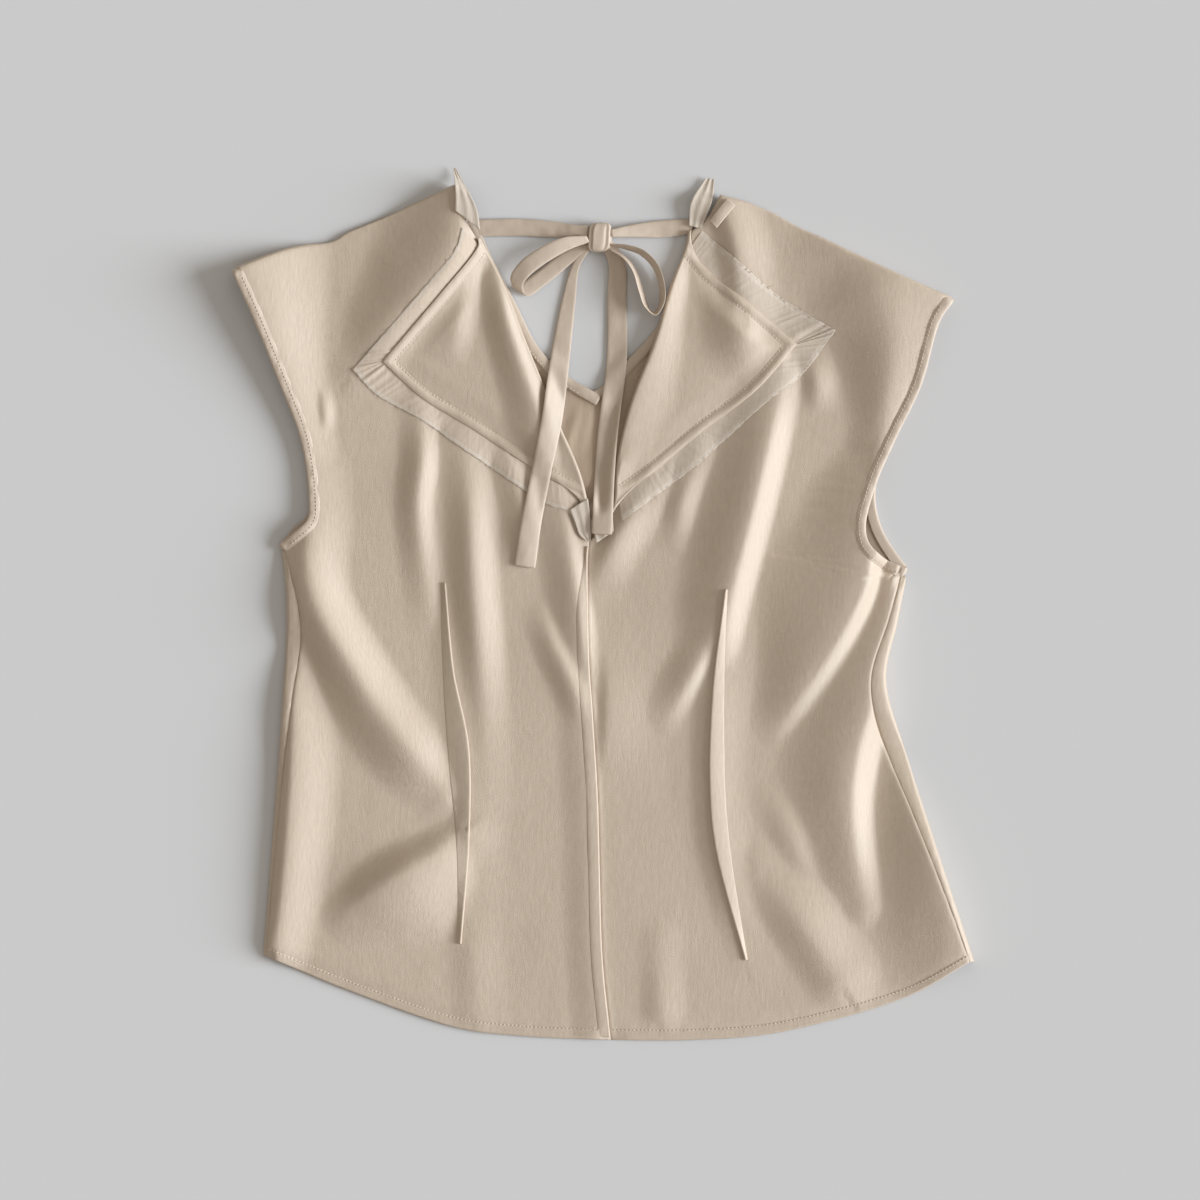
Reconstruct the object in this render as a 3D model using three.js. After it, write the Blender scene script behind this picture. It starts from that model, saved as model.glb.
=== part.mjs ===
// A sleeveless satin blouse laid flat on its back: two fronts joined down the middle, wide turned-back
// lapels with a raw-edged trim, bound armholes, a bound V at the back neck, and a narrow tie in a bow.
// Millimetres. +X is to the right as the blouse is seen from above, +Y towards the neck, +Z up from the
// surface it lies on. Every sheet of cloth is a closed wall of real thickness, worked out as a grid of
// points on the cloth's middle surface.
import * as THREE from "three";

// Driving sizes
const CLOTH = 1.2;
const SEAM_GAP = 0.5;
const SIDE_GAP = 1.0;
const ROLL_GAP = 0.9;
const V_CLEARANCE = 1.2;
const LAYER_GAP = 0.5;
const BINDING_WIDTH = 7.5;
const BINDING_WALL = 1.5;
const TIE_WALL = 1.1;
const TRIM_WALL = 1.0;
const TUCK_WIDTH = 8.5;
const FOLD_RADIUS = 2.3;
const ROLL_RADIUS = 2.1;
const FRONT_REST = 3.3;

// Cells in each grid
const BODY_CELLS = 16;
const ROLL_CELLS = 12;
const NECK_CELLS = 2;
const FRONT_CELLS = 18;
const BACK_CELLS = 16;
const BACK_SHOULDER_CELLS = 3;
const FOLD_CELLS = 4;
const LAPEL_CELLS = 8;

// Where the side seam meets the armhole and the lapels meet the middle seam, as a share of the panel's length
const UNDERARM = 0.58;
const NECK = 0.94;
const SEAM_TOP_CELL = 0.012;

// Outlines, from the hem up and from the middle out
const HEM_LEFT = [[-252, -260], [-194, -284], [-109, -313], [-62, -319], [5, -322]];
const HEM_RIGHT = [[5, -322], [61, -322], [113, -319], [154, -311.5], [227, -290], [273.5, -264]];
const SIDE_LEFT = [[-252, -260], [-245, -172], [-237.5, -67], [-234.5, -10], [-237.5, 35.5]];
const SIDE_RIGHT = [[273.5, -264], [248.5, -188], [225, -115], [208.5, -56], [217, -13], [224, 21.5]];
const SEAM_INSET_LEFT = [6, 6, 6, 7.5, 12, 5];
const SEAM_INSET_RIGHT = [4, 6.5, 10.5, 15, 10, 5];
const MIDDLE_SEAM = [[5, -322], [-1, -263], [-3, -204], [-4.5, -145], [-8, -86], [-11, -41], [-12, 33], [-11, 46]];
const ARMHOLE_LEFT = [
  [-240, 44], [-230, 52], [-219, 63], [-218, 77], [-224, 121], [-240, 164], [-257.5, 208], [-274, 245],
];
const ARMHOLE_RIGHT = [
  [225, 26], [210, 32], [196, 44], [193, 57], [200, 86], [215, 121], [234, 161], [248, 209], [257.5, 223],
];
const BACK_ARMHOLE_LEFT = [
  [-240, 44], [-230, 56], [-219, 67], [-218, 80], [-224, 121], [-240, 164], [-257.5, 208], [-274, 245],
];
const BACK_ARMHOLE_RIGHT = [
  [225, 26], [214, 41], [206, 55], [201, 73], [202, 92], [215, 121], [234, 161], [248, 209], [257.5, 223],
];
const SHOULDER_LEFT = [[-274, 246], [-236, 260], [-201, 267], [-191, 273], [-151, 289], [-110, 307]];
const SHOULDER_RIGHT = [[257.5, 226], [230, 237.5], [189, 256], [145, 277], [120.5, 290], [85, 300]];
const ROLL_LEFT = [[-11, 46], [-10, 61], [-16, 93], [-33, 134], [-45.5, 165], [-58.5, 197], [-73.5, 236], [-91, 270]];
const ROLL_RIGHT = [[-11, 46], [-3, 55], [6, 73], [9, 104], [18.5, 146], [37, 195], [49.5, 237], [60, 265], [62, 276]];
const NECK_EDGE_LEFT = [[-94.6, 270], [-105, 288], [-110, 307]];
const NECK_EDGE_RIGHT = [[65.6, 276], [75.5, 284], [85, 300]];
const V_LEFT = [[-98, 290], [-85, 260], [-67, 225], [-47.5, 188], [-26.5, 167], [-5, 148]];
const V_RIGHT = [[-5, 148], [0, 158], [17, 179], [38, 203], [52.5, 232], [62, 260], [71, 288]];

const V_PANEL_POINT = [-2.5, 132.5];

// Lapels: the sewn edge from the neck round the point to the bottom, and the trim's raw edge beyond it
const LAPEL_POINT_SHARE = 5 / 11;
const LAPEL_LEFT_UPPER = [[-91.5, 266], [-97, 257], [-117, 233], [-163.5, 179]];
const LAPEL_LEFT_LOWER = [[-163.5, 179], [-135, 153], [-101, 132], [-40, 93], [-17, 81]];
const LAPEL_RIGHT_UPPER = [[62.5, 264], [78, 245], [109, 220.5], [142, 192]];
const LAPEL_RIGHT_LOWER = [[142, 192], [112, 158], [70, 126], [35.5, 97], [9, 78]];
const TRIM_LEFT_UPPER = [[-104, 279], [-109.5, 262], [-127, 240], [-186, 173]];
const TRIM_LEFT_LOWER = [[-186, 173], [-169, 155], [-135, 136], [-100.5, 112], [-41, 73], [-26, 67], [-20, 52]];
const TRIM_RIGHT_UPPER = [[71, 277], [97, 255], [130, 227], [171, 202]];
const TRIM_RIGHT_LOWER = [[171, 202], [144, 167], [120.5, 149.5], [70, 104], [35.5, 78], [11, 60]];

// Folds of the fronts, each a soft ridge along its crest from the neck end down: rise at each crest point,
// and how far it spreads to the left and to the right
const FOLDS_LEFT = [
  { crest: [[-271, 253], [-253, 210], [-236, 166], [-221, 114]], rise: [3, 6, 5, 3], left: 10, right: 56 },
  { crest: [[-108, 295], [-121, 247], [-151, 210], [-172, 186]], rise: [5, 7, 6, 3], left: 44, right: 30 },
  { crest: [[-206, 181], [-206, 136], [-212, 99]], rise: [0, 3, 0], left: 13, right: 18 },
  { crest: [[-221, 99], [-223, 62], [-223, 33], [-212, 3], [-193, -34], [-167, -71], [-145, -101], [-127, -138]], rise: [4, 6, 9, 10, 10, 8, 5, 0], left: 31, right: 30 },
  { crest: [[-136, 144], [-133, 107], [-138, 73], [-132, 10], [-127, -27]], rise: [0, 5, 5, 4, 0], left: 18, right: 18 },
  { crest: [[-104, 121], [-99, 70], [-95, 21], [-90, -41], [-87, -130], [-86, -219]], rise: [0, 6, 6, 4, 2, 0], left: 21, right: 22 },
  { crest: [[-38, 70], [-28, 33], [-24, -12], [-21, -64]], rise: [0, 4, 5, 0], left: 25, right: 12 },
  { crest: [[-53, 4], [-41, -27], [-24, -64], [-13, -104]], rise: [0, 4, 4, 0], left: 12, right: 10 },
  { crest: [[-108, -169], [-147, -203], [-199, -232], [-225, -245]], rise: [4, 6, 4, 0], left: 25, right: 44 },
  { crest: [[-237, -27], [-236, -86], [-237, -160], [-243, -219]], rise: [0, 3, 3, 0], left: 9, right: 31 },
];
const FOLDS_RIGHT = [
  { crest: [[92, 299], [102, 262], [108, 229]], rise: [4, 5, 2], left: 25, right: 24 },
  { crest: [[167, 253], [186, 221], [207, 181], [214, 136]], rise: [3, 5, 5, 2], left: 36, right: 24 },
  { crest: [[158, 186], [163, 162], [164, 140]], rise: [0, 4, 0], left: 12, right: 15 },
  { crest: [[125, 162], [115, 121], [108, 77], [101, 40], [93, -4], [87, -64]], rise: [0, 8, 10, 10, 8, 0], left: 31, right: 22 },
  { crest: [[68, 110], [56, 66], [38, 29], [27, 10]], rise: [0, 5, 5, 0], left: 18, right: 15 },
  { crest: [[36, 86], [15, 56], [-6, 14]], rise: [0, 5, 0], left: 16, right: 13 },
  { crest: [[77, -16], [65, -56], [38, -87]], rise: [0, 3, 0], left: 12, right: 10 },
  { crest: [[184, 99], [176, 62], [173, 25]], rise: [0, 3, 0], left: 13, right: 10 },
  { crest: [[204, 24], [164, -27], [139, -67], [108, -102]], rise: [4, 6, 6, 0], left: 19, right: 15 },
  { crest: [[215, 10], [204, -56], [189, -115], [186, -167], [192, -219]], rise: [5, 9, 12, 10, 0], left: 58, right: 15 },
  { crest: [[238, -182], [258, -241], [268, -263]], rise: [0, 3, 2], left: 44, right: 6 },
  { crest: [[138, -173], [173, -219], [191, -252]], rise: [0, 4, 0], left: 18, right: 15 },
  { crest: [[104, -195], [138, -243], [169, -286]], rise: [0, 4, 0], left: 18, right: 15 },
  { crest: [[13, -64], [18, -101]], rise: [0, 2], left: 22, right: 22 },
];

// The stitched tucks that stand on the fronts: the sewn line and the folded edge, top to bottom
const DART_LEFT_SEWN = [[-120, 15.5], [-120, -29.5], [-115, -115], [-109, -175], [-108, -251]];
const DART_LEFT_FOLD = [[-118, 15.5], [-112, -49], [-101, -105], [-100.5, -172], [-106.5, -251]];
const DART_RIGHT_SEWN = [[91, 10.5], [89, -41], [89.5, -138], [94, -188], [106, -263]];
const DART_RIGHT_FOLD = [[90, 10.5], [81, -65], [79, -138], [83.5, -182], [105, -263]];

// The tie: the middle line of each ribbon, its half width and the height of its middle line
const HALF_TIE = 6.3;
const KNOT = { x: -3.3, y: 271, z: 5.6, width: 16, length: 21, height: 9.6 };
const BAND_LEFT = [
  { at: [-89.6, 278], half: 6.2, z: 1.55 },
  { at: [-60, 278.5], half: HALF_TIE, z: 1.6 },
  { at: [-35.5, 277], half: 5.6, z: 3.0 },
  { at: [-12.4, 274], half: 3.2, z: 6.6 },
];
const BAND_RIGHT = [
  { at: [5.8, 274], half: 2.8, z: 7.0 },
  { at: [22, 276], half: 4.6, z: 4.0 },
  { at: [44, 277.5], half: HALF_TIE, z: 1.8 },
  { at: [65.2, 279.2], half: 5.4, z: 1.5 },
];
const LOOP_LEFT = [
  { at: [-12.4, 269.5], wide: [-1.2, 2.4, 0.6], z: 9.0 },
  { at: [-28, 266], wide: [-2.4, 4.4, 1.2], z: 11.4 },
  { at: [-46.5, 256.5], wide: [-3.0, 5.2, 0.4], z: 11.4 },
  { at: [-59, 247], wide: [-3.4, 5.2, 0], z: 9.6 },
  { at: [-64.5, 238], wide: [-4.6, 3.6, 0], z: 6.2 },
  { at: [-61.5, 231], wide: [-4.8, 3.4, 0], z: 3.0 },
  { at: [-47.5, 240], wide: [-3.4, 4.6, 0], z: 2.0 },
  { at: [-29, 254.5], wide: [-3.0, 4.2, 0], z: 2.0 },
  { at: [-13.4, 265], wide: [-1.4, 2.4, 0], z: 3.6 },
];
const LOOP_RIGHT = [
  { at: [5.8, 264.5], wide: [0.6, 0.2, 1.8], z: 5.8 },
  { at: [16, 258], wide: [1.2, 0.5, 4.6], z: 8.0 },
  { at: [24, 248], wide: [1.4, 0.6, 6.0], z: 9.0 },
  { at: [33, 236], wide: [1.4, 0.8, 6.0], z: 9.0 },
  { at: [39.5, 225], wide: [1.2, 0.6, 6.0], z: 9.0 },
  { at: [39.5, 217.5], wide: [0.2, 1.4, 6.0], z: 9.0 },
  { at: [33, 218.5], wide: [-1.2, 1.0, 6.0], z: 9.0 },
  { at: [26, 230], wide: [-1.4, 0.2, 6.0], z: 9.0 },
  { at: [20.5, 244], wide: [-1.2, 0, 5.4], z: 8.8 },
  { at: [14, 256.5], wide: [-0.8, -0.2, 4.0], z: 9.2 },
  { at: [5.8, 268.4], wide: [-0.4, -0.4, 1.8], z: 7.2 },
];
const TAIL_LEFT = [
  { at: [-20.7, 250], half: 2.6 },
  { at: [-26, 225], half: 5.0 },
  { at: [-32.5, 181], half: 7.0 },
  { at: [-38.5, 136], half: 7.6 },
  { at: [-46, 99], half: 7.2 },
  { at: [-53.5, 61.5], half: 7.4 },
  { at: [-58.5, 28], half: 7.8 },
];
const TAIL_RIGHT = [
  { at: [9.5, 254], half: 6.4 },
  { at: [9.5, 225], half: 7.0 },
  { at: [9.5, 181], half: 7.4 },
  { at: [3, 129], half: 7.3 },
  { at: [0.5, 95.5], half: 7.3 },
  { at: [-1.5, 52], half: 7.5 },
];

// Trim ends that stand past the shoulder, and the short binding at the right neck: left and right edges,
// bottom to top
const TRIM_END_LEFT = { left: [[-109.5, 290], [-109.5, 305], [-111.3, 322]], right: [[-91.5, 276], [-94, 291], [-109.6, 322]] };
const TRIM_END_RIGHT = { left: [[63, 280], [64.5, 297], [75.5, 315]], right: [[71.5, 277.5], [80, 299], [81.5, 314]] };
const NECK_STRIP = { left: [[78, 283], [90.5, 299]], right: [[83, 278], [96.5, 294.5]] };

const SATIN = new THREE.MeshStandardMaterial({ color: 0xcbbda9, roughness: 0.42, metalness: 0 });
const BOUND_SATIN = new THREE.MeshStandardMaterial({ color: 0xd3c5b2, roughness: 0.45, metalness: 0 });
const RAW_TRIM = new THREE.MeshStandardMaterial({ color: 0xe0dad0, roughness: 0.8, metalness: 0 });

const blouse = new THREE.Group();

// Curves and numbers

const mix = (a, b, t) => a + (b - a) * t;
const mixPoint = (a, b, t) => [mix(a[0], b[0], t), mix(a[1], b[1], t)];

// A smooth curve through plan points, as a function of the share of its length.
function curve(points) {
  const line = new THREE.CatmullRomCurve3(
    points.map(([x, y]) => new THREE.Vector3(x, y, 0)),
    false,
    "centripetal",
  );
  line.arcLengthDivisions = 400;
  return (t) => {
    const p = line.getPointAt(Math.min(1, Math.max(0, t)));
    return [p.x, p.y];
  };
}

// Evenly spaced values joined smoothly, as a function of a share from 0 to 1.
function profile(values) {
  return (t) => {
    const place = Math.min(1, Math.max(0, t)) * (values.length - 1);
    const first = Math.min(values.length - 2, Math.floor(place));
    const share = place - first;
    const eased = share * share * (3 - 2 * share);
    return mix(values[first], values[first + 1], eased);
  };
}

// The curve moved sideways by a distance, to its left as it runs when the distance is positive.
function beside(line, distance) {
  const step = 0.004;
  return (t) => {
    const a = line(Math.max(0, t - step));
    const b = line(Math.min(1, t + step));
    const length = Math.hypot(b[0] - a[0], b[1] - a[1]);
    const p = line(t);
    return [p[0] - ((b[1] - a[1]) / length) * distance, p[1] + ((b[0] - a[0]) / length) * distance];
  };
}

// Two curves run one after the other, the first up to the given share.
const joined = (first, second, share) => (t) =>
  t < share ? first(t / share) : second((t - share) / (1 - share));

const shares = (cells, from = 0, to = 1) =>
  Array.from({ length: cells + 1 }, (_, i) => mix(from, to, i / cells));

const ROWS = [
  ...shares(BODY_CELLS, 0, UNDERARM - SEAM_TOP_CELL),
  UNDERARM,
  ...shares(ROLL_CELLS, UNDERARM, NECK).slice(1),
  ...shares(NECK_CELLS, NECK, 1).slice(1),
];

// The cloth as a closed wall round a grid of middle points

// grid[row][column] is a THREE.Vector3, or null where the cloth ends before that column.
function wall(grid, thickness, loop = false) {
  const rows = grid.length;
  const columns = grid[0].length;
  const at = (i, j) => grid[loop ? (i + rows) % rows : i]?.[j] ?? null;
  const cell = (i, j) => at(i, j) && at(i + 1, j) && at(i, j + 1) && at(i + 1, j + 1);
  const positions = [];
  const index = new Map();
  const key = (i, j) => (loop ? (i + rows) % rows : i) * columns + j;
  const vertex = (i, j, side) => {
    const name = key(i, j) * 2 + side;
    if (!index.has(name)) {
      const p = at(i, j);
      const along = new THREE.Vector3().subVectors(at(i + 1, j) ?? p, at(i - 1, j) ?? p);
      const across = new THREE.Vector3().subVectors(at(i, j + 1) ?? p, at(i, j - 1) ?? p);
      const out = new THREE.Vector3().crossVectors(across, along).normalize();
      const moved = p.clone().addScaledVector(out, ((side ? 1 : -1) * thickness) / 2);
      index.set(name, positions.length / 3);
      positions.push(moved.x, moved.y, moved.z);
    }
    return index.get(name);
  };
  const faces = [];
  const quad = (a, b, c, d) => faces.push(a, b, c, a, c, d);
  const lastRow = loop ? rows : rows - 1;
  for (let i = 0; i < lastRow; i += 1) {
    for (let j = 0; j < columns - 1; j += 1) {
      if (!cell(i, j)) continue;
      const corner = [[i, j], [i, j + 1], [i + 1, j + 1], [i + 1, j]];
      const [a, b, c, d] = corner.map(([m, n]) => vertex(m, n, 1));
      const [e, f, g, h] = corner.map(([m, n]) => vertex(m, n, 0));
      quad(a, b, c, d);
      quad(e, h, g, f);
      if (!(loop || i > 0) || !cell(i - 1, j)) quad(e, f, b, a);
      if (!(loop || i < lastRow - 1) || !cell(i + 1, j)) quad(g, h, d, c);
      if (j === 0 || !cell(i, j - 1)) quad(h, e, a, d);
      if (j === columns - 2 || !cell(i, j + 1)) quad(f, g, c, b);
    }
  }
  const geometry = new THREE.BufferGeometry();
  geometry.setAttribute("position", new THREE.Float32BufferAttribute(positions, 3));
  geometry.setIndex(faces);
  geometry.computeVertexNormals();
  return geometry;
}

function volumeOf(geometry) {
  const { position } = geometry.attributes;
  const [a, b, c] = [new THREE.Vector3(), new THREE.Vector3(), new THREE.Vector3()];
  let volume = 0;
  for (let k = 0; k < geometry.index.count; k += 3) {
    a.fromBufferAttribute(position, geometry.index.getX(k));
    b.fromBufferAttribute(position, geometry.index.getX(k + 1));
    c.fromBufferAttribute(position, geometry.index.getX(k + 2));
    volume += a.dot(b.cross(c)) / 6;
  }
  return volume;
}

// Adds a piece, with its faces turned outwards.
function add(name, geometry, material) {
  if (volumeOf(geometry) < 0) {
    const turned = Array.from(geometry.index.array);
    for (let k = 0; k < turned.length; k += 3) turned.splice(k, 3, turned[k], turned[k + 2], turned[k + 1]);
    geometry.setIndex(turned);
    geometry.computeVertexNormals();
  }
  const mesh = new THREE.Mesh(geometry, material);
  mesh.material.side = THREE.DoubleSide;
  mesh.name = name;
  blouse.add(mesh);
  mesh.updateMatrixWorld(true);
  return mesh;
}

// The height of the top of the pieces below a plan point.
const ray = new THREE.Raycaster();
const DOWN = new THREE.Vector3(0, 0, -1);
function topOf(pieces, x, y) {
  ray.set(new THREE.Vector3(x, y, 200), DOWN);
  return ray.intersectObjects(pieces, false)[0]?.point.z ?? 0;
}

// Raises each point of a grid until the wall lies on the pieces below it, near each point as well as under it.
function layOn(grid, pieces, thickness, extra = () => 0, reach = 3) {
  const ring = shares(8, 0, 2 * Math.PI).slice(1);
  const around = [[0, 0], ...[0.5, 1].flatMap((r) => ring.map((a) => [r * reach * Math.cos(a), r * reach * Math.sin(a)]))];
  return grid.map((row, i) =>
    row.map((p, j) => {
      const below = Math.max(...around.map(([dx, dy]) => topOf(pieces, p.x + dx, p.y + dy)));
      return new THREE.Vector3(p.x, p.y, below + LAYER_GAP + thickness / 2 + extra(i, j));
    }),
  );
}

// Folds

// The rise of one fold at a plan point: full at its crest, easing to nothing at its spread.
function riseOf(fold, x, y) {
  fold.line ??= shares(24).map(curve(fold.crest));
  fold.riseAt ??= profile(fold.rise);
  let best = { distance: Infinity };
  for (let k = 0; k < fold.line.length - 1; k += 1) {
    const [a, b] = [fold.line[k], fold.line[k + 1]];
    const [dx, dy] = [b[0] - a[0], b[1] - a[1]];
    const share = Math.min(1, Math.max(0, ((x - a[0]) * dx + (y - a[1]) * dy) / (dx * dx + dy * dy)));
    const [ox, oy] = [x - a[0] - dx * share, y - a[1] - dy * share];
    const distance = Math.hypot(ox, oy);
    if (distance < best.distance) {
      best = { distance, along: (k + share) / (fold.line.length - 1), right: dx * oy - dy * ox > 0 };
    }
  }
  const away = best.distance / (best.right ? fold.right : fold.left);
  return away < 1 ? fold.riseAt(best.along) * (1 - away * away) ** 2 : 0;
}

const FOLDS = [...FOLDS_LEFT, ...FOLDS_RIGHT];

// The middle of the fronts' cloth above the surface. Each half has its own folds, faded over the middle seam.
function frontHeight(x, y) {
  const rises = FOLDS.map((fold) => riseOf(fold, x, y));
  const highest = Math.max(...rises);
  const rest = rises.reduce((sum, rise) => sum + rise, 0) - highest;
  return FRONT_REST + highest + 0.35 * rest;
}

// Panels

const sideLeft = curve(SIDE_LEFT);
const sideRight = curve(SIDE_RIGHT);
const insetLeft = profile(SEAM_INSET_LEFT);
const insetRight = profile(SEAM_INSET_RIGHT);
const seamLeft = (t) => [sideLeft(t)[0] + insetLeft(t), sideLeft(t)[1]];
const seamRight = (t) => [sideRight(t)[0] - insetRight(t), sideRight(t)[1]];
const panelInset = BINDING_WIDTH + SEAM_GAP;

// A patch of plan points between four edges: u runs from left to right and v from the hem up.
function patch({ left, right, bottom, top }) {
  const corners = [bottom(0), bottom(1), top(0), top(1)];
  return (u, v) =>
    [0, 1].map((k) => {
      const edges =
        mix(left(v)[k], right(v)[k], u) + mix(bottom(u)[k], top(u)[k], v);
      const ruled = mix(mix(corners[0][k], corners[1][k], u), mix(corners[2][k], corners[3][k], u), v);
      return edges - ruled;
    });
}

function trimmed(line, from, to) {
  return (t) => line(mix(from, to, t));
}

const middle = curve(MIDDLE_SEAM);
const rollLeft = curve(ROLL_LEFT);
const rollRight = curve(ROLL_RIGHT);
const rollShare = (NECK - UNDERARM) / (1 - UNDERARM);

// The front's neck side: up the middle seam, along the roll of the lapel, then the neck edge.
function frontInner(roll, neckEdge, direction) {
  const seam = beside(middle, (direction * SEAM_GAP) / 2);
  const inRoll = (t) => {
    const [x, y] = roll(t);
    const turned = Math.min(1, t * ROLL_CELLS);
    return [x - direction * (SEAM_GAP / 2 + turned * (ROLL_RADIUS + CLOTH / 2 + ROLL_GAP)), y];
  };
  return joined(seam, joined(inRoll, curve(neckEdge), rollShare), UNDERARM);
}

function frontPatch(side) {
  const leftSide = side === "left";
  const armhole = curve(leftSide ? ARMHOLE_LEFT : ARMHOLE_RIGHT);
  const outer = joined(
    leftSide ? seamLeft : seamRight,
    beside(armhole, leftSide ? -panelInset : panelInset),
    UNDERARM,
  );
  const inner = frontInner(
    leftSide ? rollLeft : rollRight,
    leftSide ? NECK_EDGE_LEFT : NECK_EDGE_RIGHT,
    leftSide ? 1 : -1,
  );
  const hem = curve(leftSide ? HEM_LEFT : HEM_RIGHT);
  const shoulder = curve(leftSide ? SHOULDER_LEFT : SHOULDER_RIGHT);
  const [left, right] = leftSide ? [outer, inner] : [inner, outer];
  const straight = (line, from, to) => (u) => {
    const p = line(u);
    const [a, b] = [line(0), line(1)];
    return [p[0] + mix(from[0] - a[0], to[0] - b[0], u), p[1] + mix(from[1] - a[1], to[1] - b[1], u)];
  };
  const top = leftSide ? shoulder : (u) => shoulder(1 - u);
  return patch({
    left,
    right,
    bottom: straight(hem, left(0), right(0)),
    top: straight(top, left(1), right(1)),
  });
}

function frontGrid(side) {
  const plan = frontPatch(side);
  return ROWS.map((v) =>
    shares(FRONT_CELLS).map((u) => {
      const [x, y] = plan(u, v);
      return new THREE.Vector3(x, y, frontHeight(x, y));
    }),
  );
}

// The back lies flat. Below the underarms its sides fold up and over to the side seams.
function backGrid() {
  const hem = joined(curve(HEM_LEFT), curve(HEM_RIGHT), 0.5);
  const armLeft = beside(curve(BACK_ARMHOLE_LEFT), -panelInset);
  const armRight = beside(curve(BACK_ARMHOLE_RIGHT), panelInset);
  const foldLeft = (t) => [sideLeft(t)[0] + FOLD_RADIUS + CLOTH / 2, sideLeft(t)[1]];
  const foldRight = (t) => [sideRight(t)[0] - FOLD_RADIUS - CLOTH / 2, sideRight(t)[1]];
  const vLeft = beside(curve(V_LEFT), -panelInset - V_CLEARANCE);
  const vRight = beside(curve(V_RIGHT), -panelInset - V_CLEARANCE);
  const [neckLeft, neckRight] = [vLeft(0), vRight(1)];
  const shoulderLeft = curve([armLeft(1), ...SHOULDER_LEFT.slice(1, -1), neckLeft]);
  const shoulderRight = curve([neckRight, ...SHOULDER_RIGHT.slice(1, -1).reverse(), armRight(1)]);
  const vee = joined(
    curve([...shares(6).map(vLeft), V_PANEL_POINT]),
    curve([V_PANEL_POINT, ...shares(6).map(vRight)]),
    0.5,
  );
  const top = (u) => {
    const ends = [BACK_SHOULDER_CELLS / BACK_CELLS, 1 - BACK_SHOULDER_CELLS / BACK_CELLS];
    if (u < ends[0]) return shoulderLeft(u / ends[0]);
    if (u > ends[1]) return shoulderRight((u - ends[1]) / (1 - ends[1]));
    return vee((u - ends[0]) / (ends[1] - ends[0]));
  };
  const left = joined(foldLeft, armLeft, UNDERARM);
  const right = joined(foldRight, armRight, UNDERARM);
  const fitted = (line, from, to) => (u) => {
    const p = line(u);
    const [a, b] = [line(0), line(1)];
    return [p[0] + mix(from[0] - a[0], to[0] - b[0], u), p[1] + mix(from[1] - a[1], to[1] - b[1], u)];
  };
  const plan = patch({
    left,
    right,
    bottom: fitted(hem, left(0), right(0)),
    top: fitted(top, left(1), right(1)),
  });
  const level = CLOTH / 2;
  // One side's fold at a row, from the seam round to the flat back. inward is +1 on the left.
  const folded = (side, seam, t, inward) => {
    const [sx, sy] = side(t);
    const [qx] = seam(t);
    const seamHeight = frontHeight(qx, sy);
    const radius = Math.min(FOLD_RADIUS, (seamHeight - level) / 2);
    const centre = sx + inward * (FOLD_RADIUS + level);
    const turn = shares(FOLD_CELLS).map((k) => {
      const angle = Math.PI * (1 - k);
      return new THREE.Vector3(
        centre - inward * Math.sin(angle) * FOLD_RADIUS,
        sy,
        level + radius - Math.cos(angle) * radius,
      );
    });
    return [new THREE.Vector3(qx - inward * SIDE_GAP, sy, seamHeight), ...turn.slice(0, -1)];
  };
  return ROWS.map((v) => {
    const flat = shares(BACK_CELLS).map((u) => {
      const [x, y] = plan(u, v);
      return new THREE.Vector3(x, y, level);
    });
    const none = Array(FOLD_CELLS + 1).fill(null);
    const inBody = v < UNDERARM;
    const t = v / UNDERARM;
    return [
      ...(inBody ? folded(sideLeft, seamLeft, t, 1) : none),
      ...flat,
      ...(inBody ? folded(sideRight, seamRight, t, -1).reverse() : none),
    ];
  });
}

const back = add("back", wall(backGrid(), CLOTH), SATIN);
const frontLeft = add("front_left", wall(frontGrid("left"), CLOTH), SATIN);
const frontRight = add("front_right", wall(frontGrid("right"), CLOTH), SATIN);

// Armhole bindings: each a closed ring of bias strip along the front edge, over the shoulder and back under

function bindingGrid(frontCurve, backCurve, inward) {
  const lead = 0.012;
  const places = ROWS.filter((v) => v > UNDERARM && v < 1).map((v) => (v - UNDERARM) / (1 - UNDERARM));
  const going = [lead, ...places, 1 - lead];
  const strip = (line, t, height) => {
    const outer = line(t);
    const inner = beside(line, inward * BINDING_WIDTH)(t);
    return [outer, inner].map(([x, y]) => {
      return new THREE.Vector3(x, y, height(...inner));
    });
  };
  const low = () => BINDING_WALL / 2;
  const over = going.map((t) => strip(frontCurve, t, frontHeight));
  const under = [...going].reverse().map((t) => strip(backCurve, t, low));
  // Half a turn between the two runs, bulging past the end of the armhole.
  const turn = (from, to, heading) =>
    [0.25, 0.5, 0.75].map((share) =>
      [0, 1].map((k) => {
        const angle = Math.PI * share;
        const radius = Math.abs(from[k].z - to[k].z) / 2;
        return new THREE.Vector3(
          mix(from[k].x, to[k].x, share) + heading[0] * radius * Math.sin(angle),
          mix(from[k].y, to[k].y, share) + heading[1] * radius * Math.sin(angle),
          mix(from[k].z, to[k].z, (1 - Math.cos(angle)) / 2),
        );
      }),
    );
  const headingOf = (line, t, step) => {
    const [a, b] = [line(t), line(t + step)];
    const length = Math.hypot(b[0] - a[0], b[1] - a[1]);
    return [(b[0] - a[0]) / length, (b[1] - a[1]) / length];
  };
  const shoulderTurn = turn(over.at(-1), under[0], headingOf(frontCurve, 0.98, 0.02));
  const underarmTurn = turn(under.at(-1), over[0], headingOf(frontCurve, 0.02, -0.02));
  return [...over, ...shoulderTurn, ...under, ...underarmTurn];
}

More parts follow.
